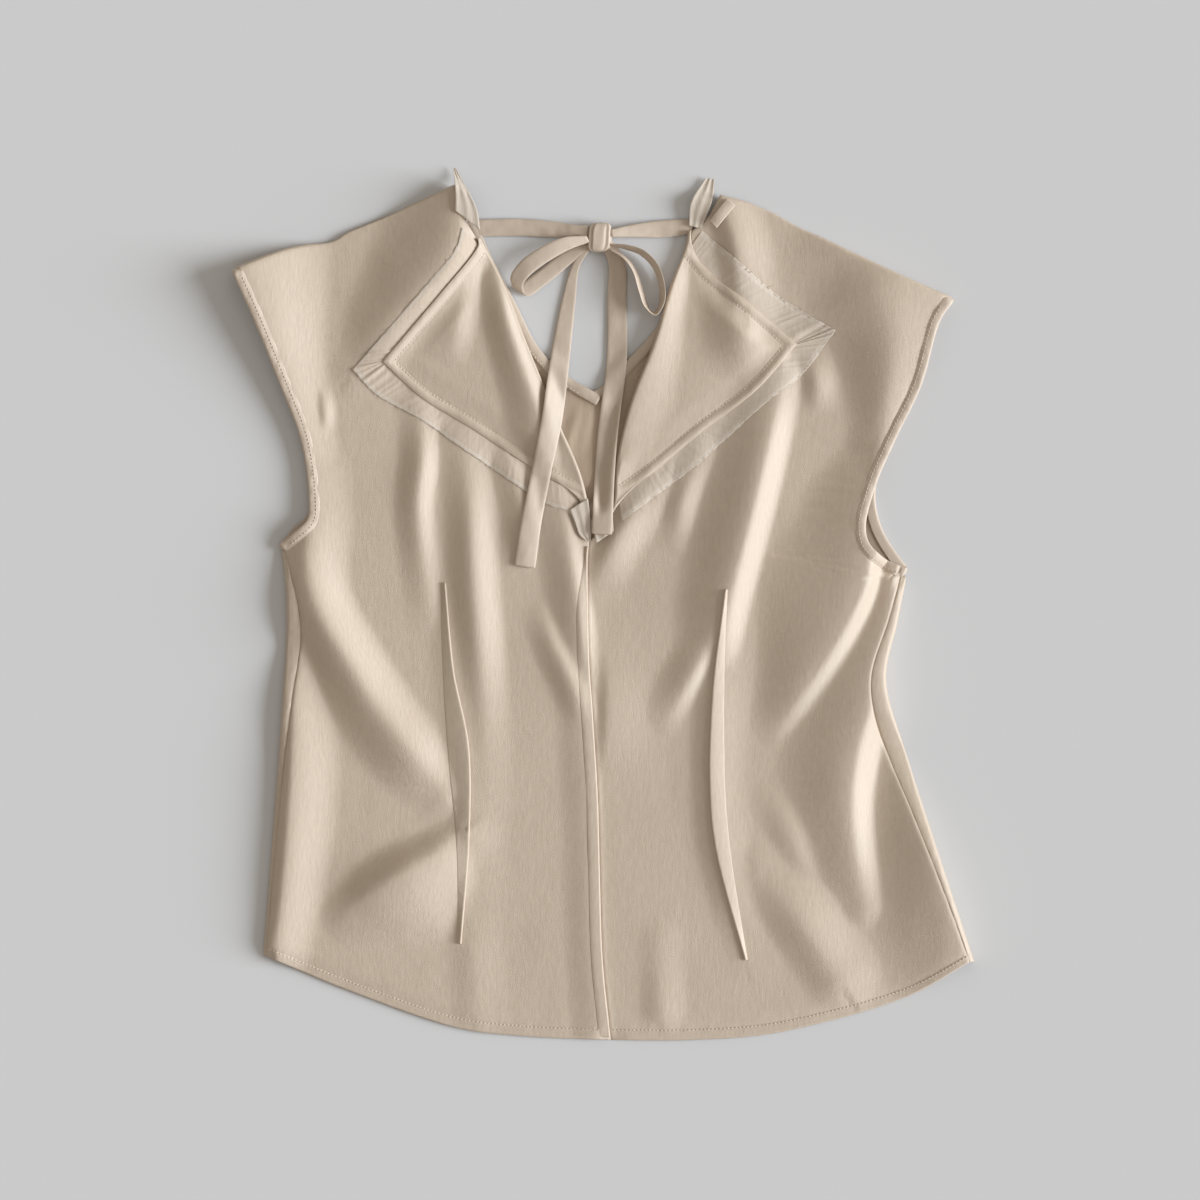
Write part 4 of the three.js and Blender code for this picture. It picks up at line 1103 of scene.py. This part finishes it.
back_points, turn_columns = back_grid()
turned_rows = (ROWS[:-1] < UNDERARM - 1e-9) & (ROWS[1:] < UNDERARM)
cells = np.ones((len(ROWS) - 1, back_points.shape[1] - 1), bool)
cells[~turned_rows, :turn_columns] = False
cells[~turned_rows, -turn_columns:] = False
last = int(turned_rows.sum()) + 1
back_out = np.concatenate([grid_normals(back_points[:last]), grid_normals(back_points[last:])])
back = piece_for(
    "back", "back_panel", back_points, SATIN_WALL, SATIN_WRONG_SIDE, kept=cells, out=back_out, lining=SATIN,
)
lay_down(back_points[:, turn_columns:-turn_columns], SATIN_WALL)

fronts = {}
for side in SIDES:
    grid = front_grid(side)
    lay_down(grid, SATIN_WALL)
    turned = shoulder_turn(grid)
    wall = np.full(turned.shape[:2], SATIN_WALL)
    wall[: len(grid)] = hem_wall(side, grid)
    name = f"front_panel_{side}"
    fronts[side] = piece_for(f"front_{side}", name, turned, wall, SATIN, lining=SATIN_WRONG_SIDE)


# Armhole bindings: a strip folded round the edge, along the front, over the shoulder and back under

# Across the strip: the distance in from the edge and the height, from the front round the edge to the back
BINDING_SECTION = curve([
    (7.7, 0.05), (7.0, 0.34), (5.4, 0.8), (3.6, 1.12), (1.7, 1.1), (0.5, 0.75), (0.05, 0), (0.5, -0.72),
    (1.8, -0.98), (4.2, -0.95), (7.3, -0.8),
])
BINDING_BACK_LEVEL = 1.35


def end_turn(start, end, heading):
    """Ten points round the strip's turn from one run of the armhole to the other."""
    share = np.linspace(0, 1, 12)[1:-1][:, None]
    bulge = heading * min(abs(start[2] - end[2]) / 2, 3.2) * np.sin(math.pi * share)
    plan = start[:2] * (1 - share) + end[:2] * share + bulge
    return np.concatenate([plan, start[2] + (end[2] - start[2]) * (1 - np.cos(math.pi * share)) / 2], 1)


def armhole_binding(side):
    """The strip's closed ring: along the front, round the shoulder, back under, round the underarm."""
    going = np.linspace(0.012, 0.988, 170)
    front, under = armholes[side], back_armholes[side]
    front_edges = front(going), beside(front, AWAY[side] * BINDING_WIDTH)(going)
    under_edges = under(going[::-1]), beside(under, AWAY[side] * BINDING_WIDTH)(going[::-1])
    level = front_height(front_edges[1])
    rings = []
    for over, below in zip(front_edges, under_edges):
        over, below = with_height(over, level), with_height(below, BINDING_BACK_LEVEL)
        shoulder = end_turn(over[-1], below[0], unit(front(1.0) - front(0.97)))
        underarm = end_turn(below[-1], over[0], unit(front(0.0) - front(0.03)))
        rings.append(np.concatenate([over, shoulder, below, underarm]))
    outer, inner = rings
    along = unit(np.roll(outer, -1, 0) + np.roll(inner, -1, 0) - np.roll(outer, 1, 0) - np.roll(inner, 1, 0))
    across = unit(inner - outer)
    up = unit(np.cross(along, across)) * AWAY[side]
    section = BINDING_SECTION(np.linspace(0, 1, 26))
    grid = outer[:, None] + across[:, None] * section[None, :, :1] + up[:, None] * section[None, :, 1:]
    ripple = 0.22 * noise(grid, 3.2, 41) + 0.16 * noise(grid, 6.5, 42)
    return grid + up[:, None] * (ripple * smooth(0.2, 0.9, section[:, 1])[None, :])[..., None]


bindings = {}
for side in SIDES:
    node, name = f"armhole_binding_{side}", f"armhole_edge_{side}"
    grid = armhole_binding(side)
    bindings[side] = piece_for(node, name, grid, BINDING_WALL, BOUND_SATIN, "bound_satin", loop=True)


# Binding of the V at the back neck: two folded strips, the left one lying over the right at the point


def neck_binding(edge, start, end, lift):
    """A strip along a side of the V. A start below 0 or an end above 1 runs straight on past the point."""
    t = np.linspace(start, end, 110)
    on_edge = np.clip(t, 0, 1)
    outer, inner = edge(on_edge), beside(edge, -BINDING_WIDTH)(on_edge)
    heading = unit(edge(1.0) - edge(0.97)) if end > 1 else unit(edge(0.0) - edge(0.03))
    past = np.maximum(t - 1, 0) if end > 1 else np.maximum(-t, 0)
    beyond = heading * (past * length_of(line_of(edge)))[:, None]
    across = np.linspace(0, 1, 15)
    plan = between(outer + beyond, inner + beyond, across)
    crown = 0.55 * np.sin(np.pi * across)[None, :] ** 0.7
    ripple = 0.16 * noise(plan, 3.0, 51) + 0.1 * noise(plan, 7, 52)
    return with_height(plan, 1.5 + lift(t)[:, None] + crown + ripple * crown * 1.6)


neck_points = dict(
    left=neck_binding(back_vs["left"], 0.0, 1.04, lambda t: 1.5 * smooth(0.88, 0.98, t)),
    right=neck_binding(back_vs["right"], -0.035, 1.0, lambda t: 0 * t),
)
neck_bindings = {}
for side, grid in neck_points.items():
    wall = 1.0 + 0.5 * np.sin(np.pi * np.linspace(0, 1, grid.shape[1]))
    node, name = f"neck_binding_{side}", f"back_neck_edge_{side}"
    neck_bindings[side] = piece_for(node, name, grid, wall, BOUND_SATIN, "bound_satin")
    lay_down(grid, 1.5)


# Raw-edged trims beyond the lapels' sewn edges, starting under them

TRIM_HIDDEN = 3.0
lapel_uppers, lapel_lowers = edges_of(LAPEL_UPPER), edges_of(LAPEL_LOWER)
trim_uppers, trim_lowers = edges_of(TRIM_UPPER), edges_of(TRIM_LOWER)
lapel_edges = {side: joined(lapel_uppers[side], lapel_lowers[side], LAPEL_POINT) for side in SIDES}
trim_edges = {side: joined(trim_uppers[side], trim_lowers[side], LAPEL_POINT) for side in SIDES}


def trim_grid(side):
    """The trim's rows run round the lapel; its columns from below the lapel's edge to the raw edge."""
    share = np.linspace(0.006, 0.994, 420)
    off = share - LAPEL_POINT
    start = lapel_edges[side](LAPEL_POINT + off * (1 - np.exp(-((off / 0.05) ** 2))))
    end = trim_edges[side](share)
    way = unit(end - start)
    across = np.linspace(0, 1, 20)
    plan = between(start - way * TRIM_HIDDEN, end, across)
    draw = np.random.default_rng(61 if side == "left" else 62)
    rag = np.convolve(draw.uniform(-0.5, 0.5, len(share)), [0.25, 0.5, 0.25], "same")
    plan += way[:, None] * (rag[:, None] * across[None, :] ** 6)[..., None]
    length = np.concatenate([[0], np.cumsum(np.linalg.norm(np.diff(end, axis=0), axis=1))])
    phase = draw.uniform(0, 6.28, 4)
    uneven = 1.5 * np.sin(length / 6.3 + phase[2]) + 0.8 * np.sin(length / 2.9 + phase[1])
    wave = 1 - 2 * np.abs(np.sin(length / 2.1 + phase[0] + uneven)) + 0.6 * np.sin(length / 2.3 + phase[1])
    depth = 0.12 + 0.9 * np.exp(-((off / 0.07) ** 2))
    fan = smooth(0.05, 0.35, across) * (1 - 0.5 * smooth(0.6, 1.0, across))
    pleats = depth[:, None] * wave[:, None] * fan[None, :]
    curl = -0.2 * smooth(0.8, 1.0, across)[None, :] * (1 + 0.7 * np.sin(length / 9 + phase[3]))[:, None]
    lying = top_under(plan, 1) + TRIM_WALL / 2 + TRIM_GAP
    return with_height(plan, settle(lying + np.maximum(pleats + 0.5 * depth[:, None], 0) + curl, 1))


trims, trim_points = {}, {}
for side in SIDES:
    grid = trim_points[side] = trim_grid(side)
    wall = TRIM_WALL * (1 - 0.6 * smooth(0.85, 1.0, np.linspace(0, 1, grid.shape[1])))
    node, name = f"lapel_trim_{side}", f"raw_trim_{side}"
    trims[side] = piece_for(node, name, grid, wall, RAW_TRIMS[side], "raw_trim", frayed=RAW_EDGE)
for side in SIDES:
    lay_down(trim_points[side], TRIM_WALL)


# Lapels: from the front's edge round the roll and out to the sewn edge


def lapel_edge_line(side):
    """Points along a lapel's sewn edge."""
    return line_of(lapel_edges[side], count=160)


def lapel_grid(side):
    """The columns of the roll, then those of the lapel from the roll to the sewn edge."""
    edge = lapel_edge_line(side)
    t = np.linspace(0, 1, 120)
    roll_at = rolls[side](1 + (LAPEL_START - 1) * t)
    u = 1 - (1 - np.linspace(0, 1, 56)) ** 1.15
    start = roll_at + [AWAY[side] * (ROLL_RADIUS + 0.6), 0]
    plan = between(start, lapel_edges[side](t), u)
    distance = distance_to(plan, edge)
    base = np.maximum(settle(top_under(plan, 2), 4), top_under(plan, 1, soften=False))
    puff = 1.6 * np.sin(np.pi * u)[None, :] * np.sin(np.pi * t)[:, None]
    puff += fold_height(plan, LAPEL_FOLDS[side])
    laid = base + SATIN_WALL / 2 + LAPEL_GAP + puff * smooth(0, 22, distance)
    laid += groove(distance - TOPSTITCH_INSET, 0.32, 1.0)
    laid += groove(distance - 3.2, -0.1, 2.0) + groove(distance, 0.6, 1.1)
    laid += seam_puckers(plan, edge, 71, 0.14, 8)
    laid += 0.12 * noise(plan * [0.6, 1.0], 16, 72) * smooth(0, 10, distance)
    low = front_height(roll_at + [AWAY[side] * (ROLL_RADIUS + 1.0), 0])
    top = settle(np.maximum(laid[:, 0], low + 2 * ROLL_RADIUS)[:, None], 6, axes=(0,))[:, 0]
    away = np.linalg.norm(plan - start[:, None], axis=-1)
    laid = laid + (top - laid[:, 0])[:, None] * np.clip(1 - away / 16, 0, 1) ** 2
    radius = (laid[:, 0] - low) / 2
    angle = np.linspace(0, math.pi, 13)[:-1]
    x = start[:, :1] - AWAY[side] * ROLL_RADIUS * np.sin(angle)[None, :]
    z = low[:, None] + radius[:, None] * (1 - np.cos(angle))[None, :]
    rounds = np.stack([x, np.broadcast_to(start[:, 1:2], x.shape), z], -1)
    return np.concatenate([rounds, with_height(plan, laid)], 1), len(angle)


lapels, lapel_points = {}, {}
for side in SIDES:
    grid, roll_columns = lapel_grid(side)
    lapel_points[side] = grid
    wall = SATIN_WALL + 0.25 * (1 - smooth(5.4, 6.4, distance_to(grid, lapel_edge_line(side))))
    wall[:, :roll_columns] = SATIN_WALL
    lapels[side] = piece_for(f"lapel_{side}", f"lapel_panel_{side}", grid, wall, SATIN)
for side in SIDES:
    lay_down(lapel_points[side], 1.0)


# Tucks that stand on the fronts: two layers from a sewn line to a folded edge


def tuck_grid(sewn, fold, height):
    """Top layer, the turn at the fold, and the layer below. The sewn edge is level with the cloth there."""
    across = np.linspace(0, 1, 16)
    plan = between(sewn, fold, across)
    base = front_height(plan) + SATIN_WALL / 2
    low = base + SATIN_WALL / 2 + 0.05
    rise = height - TUCK_EDGE + SATIN_WALL / 2 + 0.12 * noise(plan * [1.0, 0.5], 12, 81)
    top = base - SATIN_WALL / 2 + TUCK_EDGE + rise * across[None, :] ** 0.9
    way = unit(fold - sewn)
    half = (top[:, -1] - low[:, -1]) / 2
    rounds = []
    for angle in np.linspace(0, math.pi, 9)[1:-1]:
        plan_turn = fold + way * (half * math.sin(angle))[:, None] * 1.3
        rounds.append(with_height(plan_turn, low[:, -1] + half * (1 + math.cos(angle))))
    under = with_height(plan, low)[:, ::-1][:, :9]
    return np.concatenate([with_height(plan, top), np.stack(rounds, 1), under], 1)


def tuck(node, name, sewn, fold, height):
    """A tuck of the satin, laid on the front."""
    grid = tuck_grid(sewn, fold, height)
    lay_down(grid, SATIN_WALL)
    return piece_for(node, name, grid, SATIN_WALL, SATIN)


share = np.linspace(0.01, 0.995, 200)
seam_down = middle(1 - share)
width = 2.2 + (TUCK_WIDTH - 2.2) * smooth(0, 0.16, share)
sewn = seam_down - np.stack([width, 0 * share], -1)
middle_tuck = tuck("middle_tuck", "middle_pin_tuck", sewn, seam_down - [1.2, 0], 1.6)

share = np.linspace(0, 1, 130)
darts = {}
for side in SIDES:
    sewn, fold = curve(DART_SEWN[side])(share), curve(DART_FOLD[side])(share)
    darts[side] = tuck(f"dart_{side}", f"dart_fold_{side}", sewn, fold, 1.75)


# Short pieces at the shoulders' neck ends and at the lapels' lower ends


def short_grid(edges, rows, wave, lift, reach, wall):
    """A short flat piece between two edges, with lengthwise waves and its far end lifted."""
    t, across = np.linspace(0, 1, rows), np.linspace(0, 1, 14)
    plan = between(curve(edges["left"])(t), curve(edges["right"])(t), across)
    base = settle(top_under(plan, reach).max(1, keepdims=True), 12, axes=(0,)) + wall / 2 + 0.3
    waves = wave * np.cos(across[None, :] * 2 * np.pi * 2) * (0.6 + 0.4 * t[:, None])
    return with_height(plan, base + lift * t[:, None] + np.maximum(waves, -0.2))


def short_trim(name, edges, rows, wave, lift, reach):
    """A short piece of raw-edged trim, laid on what is under it."""
    grid = short_grid(edges, rows, wave, lift, reach, TRIM_WALL)
    piece = shell(name, grid, TRIM_WALL, RAW_TRIM_ALONE, "raw_trim")
    lay_down(grid, TRIM_WALL)
    return piece


trim_tips = dict(left=short_trim("trim_tip_left", TRIM_TIP_LEFT, 40, 0.35, 3.0, 5))
trim_tips["right"] = short_trim("trim_tip_right", TRIM_TIP_RIGHT, 40, 0.45, 2.0, 4)
for side in SIDES:
    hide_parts(f"trim_end_{side}")
trim_folds = dict(left=short_trim("trim_fold_left", TRIM_FOLD_LEFT, 36, 0.35, 0.6, 3))
trim_folds["right"] = short_trim("trim_fold_right", TRIM_FOLD_RIGHT, 36, 0.35, 0.6, 3)

grid = short_grid(NECK_STRIP, 30, 0.0, 0.0, 4, 1.1)
grid[..., 2] += 0.5 * np.sin(np.pi * np.linspace(0, 1, 14))[None, :]
neck_strip = piece_for("neck_strip_right", "neck_strip_bound", grid, STRIP_WALL, BOUND_SATIN, "bound_satin")
lay_down(grid, STRIP_WALL)


# The tie: a tube of satin pressed flat

RIBBON_ACROSS = np.linspace(-1, 1, 15)
RIBBON_WALL = 1.5 * (1 - RIBBON_ACROSS**6) ** 0.5 * (1 - 0.25 * RIBBON_ACROSS**2) + 0.15


def ribbon(node, name, grid):
    """A ribbon whose pressed tube is a little uneven."""
    wall = RIBBON_WALL * (1 + 0.12 * noise(grid, 4, 91))
    return piece_for(node, name, grid, wall, BOUND_SATIN, "bound_satin")


def flat_ribbon(rows, count):
    """Plan points of a ribbon, and its middle line with its half width and what else the rows hold."""
    line = curve(rows)(np.linspace(0, 1, count))
    heading = unit(np.gradient(line[:, :2], axis=0))
    across = np.stack([-heading[:, 1], heading[:, 0]], -1) * line[:, 2:3]
    return line[:, None, :2] + across[:, None] * RIBBON_ACROSS[None, :, None], line


def tie_band(rows):
    """A band of the tie between its lapel and the knot."""
    plan, line = flat_ribbon(rows, 60)
    return with_height(plan, line[:, 3:4] + 0.25 * noise(plan, 6, 92))


def tie_tail(rows, count):
    """A tail hangs from the knot and lies on the lapels and fronts."""
    plan, _ = flat_ribbon(rows, count)
    base = settle(top_under(plan, 6), 10, axes=(0,))
    base = settle(np.maximum(base, top_under(plan, 2, soften=False)), 3)
    from_knot = np.hypot(plan[..., 0] - KNOT["x"], plan[..., 1] - KNOT["y"])
    base += 2.6 * (1 - smooth(6, 40, from_knot)) + 0.95
    edge_roll = 0.25 * np.abs(RIBBON_ACROSS) ** 3
    return with_height(plan, base + 0.25 * noise(plan * [1, 0.4], 7, 93) + edge_roll[None, :])


def bow_loop(rows, count):
    """A loop of the bow: the ribbon turns with the half width that the rows give."""
    line = curve(rows)(np.linspace(0, 1, count))
    return line[:, None, :3] + line[:, None, 3:] * RIBBON_ACROSS[None, :, None]


bands = {side: ribbon(f"tie_band_{side}", f"tie_ribbon_{side}", tie_band(BAND[side])) for side in SIDES}
loops = {}
for side, count in (("left", 120), ("right", 130)):
    loops[side] = ribbon(f"bow_loop_{side}", f"bow_ribbon_{side}", bow_loop(LOOP[side], count))
tails = {}
for side, count in (("left", 170), ("right", 150)):
    tails[side] = ribbon(f"tie_tail_{side}", f"tail_ribbon_{side}", tie_tail(TAIL[side], count))


def blunted(value, exponent):
    """A round form made blocky by an exponent below one."""
    return np.sign(value) * np.abs(value) ** exponent


def knot():
    """The turn of the knot: a rounded block, pinched by pleats that run across it."""
    rows, columns = 44, 72
    tilt = np.linspace(-math.pi / 2, math.pi / 2, rows + 2)[1:-1]
    turn = np.linspace(0, 2 * math.pi, columns, endpoint=False)
    x = np.cos(tilt)[:, None] * np.cos(turn)[None, :]
    z = np.cos(tilt)[:, None] * np.sin(turn)[None, :]
    y = np.sin(tilt)[:, None] * np.ones_like(x)
    pleat = 0.06 * np.cos(turn * 7 + 0.6)[None, :] + 0.05 * np.cos(turn * 12 + 2.0 + y * 1.5)
    pleat = pleat * np.cos(tilt)[:, None] ** 0.4
    waist = 1 - 0.05 * (1 - y**2)
    points = np.stack([
        KNOT["x"] + blunted(x, 0.55) * KNOT["width"] / 2 * (1 + pleat) * waist + 0.9 * y,
        KNOT["y"] + blunted(y, 0.5) * KNOT["length"] / 2,
        KNOT["z"] + blunted(z, 0.7) * KNOT["height"] / 2 * (1 + pleat),
    ], -1)
    number = np.arange(rows * columns).reshape(rows, columns)
    number = np.hstack([number, number[:, :1]])
    faces = np.stack([number[:-1, :-1], number[1:, :-1], number[1:, 1:], number[:-1, 1:]], -1)
    faces = faces.reshape(-1, 4).tolist()
    ends = np.array([points[0].mean(0) - [0, 0.6, 0], points[-1].mean(0) + [0, 0.6, 0]])
    low, high = rows * columns, rows * columns + 1
    for k in range(columns):
        faces.append([low, int(number[0, k]), int(number[0, k + 1])])
        faces.append([high, int(number[-1, k + 1]), int(number[-1, k])])
    return np.concatenate([points.reshape(-1, 3), ends]), faces


knot_piece = mesh_object("tie_knot", *knot(), BOUND_SATIN, "bound_satin")
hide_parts("bow_knot")


# Stitching


def inside(path, distance, start, end):
    """A line of stitches beside an edge."""
    return line_of(beside(path, distance), start, end, 160)


for side in SIDES:
    hem_line = line_of(HEMS[side], 0.004, 0.996, 140) + [0, HEM_WIDTH]
    stitches(f"hem_stitches_{side}", [hem_line], [fronts[side]], SEWING_THREAD)
    armhole_line = inside(armholes[side], AWAY[side] * (BINDING_WIDTH - 2.3), 0.03, 0.97)
    stitches(f"armhole_stitches_{side}", [armhole_line], [bindings[side]], BOUND_SATIN)
    inset = -AWAY[side] * TOPSTITCH_INSET
    upper = inside(lapel_uppers[side], inset, 0.03, 0.945)
    lower = inside(lapel_lowers[side], inset, 0.045, 0.97)
    stitches(f"lapel_stitches_{side}", [upper, lower], [lapels[side]], SEWING_THREAD)
neck_lines = [
    inside(back_vs["left"], -BINDING_WIDTH + 1.3, 0.02, 0.96),
    inside(back_vs["right"], -BINDING_WIDTH + 1.3, 0.06, 0.98),
]
stitches("back_neck_stitches", neck_lines, [neck_bindings["left"], neck_bindings["right"]], SEWING_THREAD)


# Frayed edges of the trims

FRAYED_THREADS = 190
for side, seed in (("left", 101), ("right", 102)):
    draw = np.random.default_rng(seed)
    grid = trim_points[side]
    picked = np.sort(draw.choice(len(grid), FRAYED_THREADS))
    starts = grid[picked, -2, :2]
    ways = unit(grid[picked, -1, :2] - grid[picked, 0, :2])
    lengths = draw.uniform(1.2, 3.8, len(picked)) * np.where(draw.uniform(size=len(picked)) > 0.93, 2.2, 1)
    under = [trims[side], fronts[side], back]
    threads(f"frayed_threads_{side}", starts, ways, lengths, under, RAW_TRIM, "raw_trim", 103)


# Cloth sizes: width and length of each cut in mm, its flat area in mm2 where it isn't a rectangle,
# how it is held, and what it rests on

CLOTHS = [
    (back, 590, 640, 272000, "folded", ["floor"]),
    (fronts["left"], 300, 640, 128000, "laid", [back]),
    (fronts["right"], 300, 640, 130000, "laid", [back]),
    (middle_tuck, 14, 372, None, "folded", [fronts["left"]]),
    (darts["left"], 22, 270, 5300, "folded", [fronts["left"]]),
    (darts["right"], 20, 275, 4900, "folded", [fronts["right"]]),
    (lapels["left"], 165, 220, 13200, "folded", [fronts["left"], trims["left"]]),
    (lapels["right"], 155, 220, 12900, "folded", [fronts["right"], trims["right"]]),
    (trims["left"], 20, 300, None, "laid", [fronts["left"]]),
    (trims["right"], 21, 300, None, "laid", [fronts["right"]]),
]
for side in SIDES:
    CLOTHS.append((bindings[side], 17, 450, None, "folded", [fronts[side], back]))
    CLOTHS.append((neck_bindings[side], 10, 185, 1600, "folded", [back]))
    CLOTHS.append((trim_folds[side], 14, 34, 300, "folded", [fronts[side]]))
CLOTHS += [
    (trim_tips["left"], 20, 44, 420, "laid", [fronts["left"]]),
    (trim_tips["right"], 16, 40, 380, "laid", [fronts["right"]]),
    (neck_strip, 10, 21, None, "laid", [fronts["right"]]),
    (bands["left"], 12.5, 85, None, "stretched", [knot_piece]),
    (bands["right"], 11.5, 61, None, "stretched", [knot_piece]),
    (loops["left"], 12, 122, None, "folded", [knot_piece]),
    (loops["right"], 12, 133, None, "folded", [knot_piece]),
    (tails["left"], 14.5, 245, None, "laid", [lapels["left"], fronts["left"]]),
    (tails["right"], 14.5, 225, None, "laid", [lapels["right"], fronts["right"]]),
    (knot_piece, 12, 40, None, "folded", [bands["left"], bands["right"]]),
]


# Floor, camera and light

collection = bpy.context.collection

floor_mesh = bpy.data.meshes.new("floor")
FLOOR_LEVEL = -0.0006
floor_corners = [(x, y, FLOOR_LEVEL) for x, y in ((-6, -6), (6, -6), (6, 6), (-6, 6))]
floor_mesh.from_pydata(floor_corners, [], [(0, 1, 2, 3)])
floor = bpy.data.objects.new("floor", floor_mesh)
collection.objects.link(floor)
paper = bpy.data.materials.new("pale_floor")
paper.use_nodes = True
paper_inputs = paper.node_tree.nodes["Principled BSDF"].inputs
paper_inputs["Base Color"].default_value = (0.62, 0.62, 0.62, 1)
paper_inputs["Roughness"].default_value = 0.9
paper_inputs["Specular IOR Level"].default_value = 0.1
floor_mesh.materials.append(paper)

CAMERA_HEIGHT = 4.5
FIELD = 0.888
camera_data = bpy.data.cameras.new("camera")
camera_data.sensor_width = 36
camera_data.lens = 36 * CAMERA_HEIGHT / FIELD
camera = bpy.data.objects.new("camera", camera_data)
camera.location = (-0.00296, 0.00296, CAMERA_HEIGHT)
collection.objects.link(camera)
bpy.context.scene.camera = camera

window = bpy.data.lights.new("window", "SUN")
window.energy = 4.6
window.angle = math.radians(32)
window.color = (0.92, 0.98, 1.055)
window_place = bpy.data.objects.new("window", window)
LIGHT_AZIMUTH, LIGHT_ELEVATION = math.radians(-4), math.radians(21.5)
window_place.rotation_euler = Vector((
    math.cos(LIGHT_AZIMUTH) * math.cos(LIGHT_ELEVATION),
    math.sin(LIGHT_AZIMUTH) * math.cos(LIGHT_ELEVATION),
    math.sin(LIGHT_ELEVATION),
)).to_track_quat("Z", "Y").to_euler()
collection.objects.link(window_place)
ceiling = bpy.data.lights.new("ceiling", "SUN")
ceiling.energy = 0.3
ceiling.angle = math.radians(80)
collection.objects.link(bpy.data.objects.new("ceiling", ceiling))
world = bpy.data.worlds.new("studio")
bpy.context.scene.world = world
world.use_nodes = True
world_inputs = world.node_tree.nodes["Background"].inputs
world_inputs["Color"].default_value = (1.10, 1.0, 0.88, 1)
world_inputs["Strength"].default_value = 0.33
bpy.context.scene.view_settings.view_transform = "Standard"
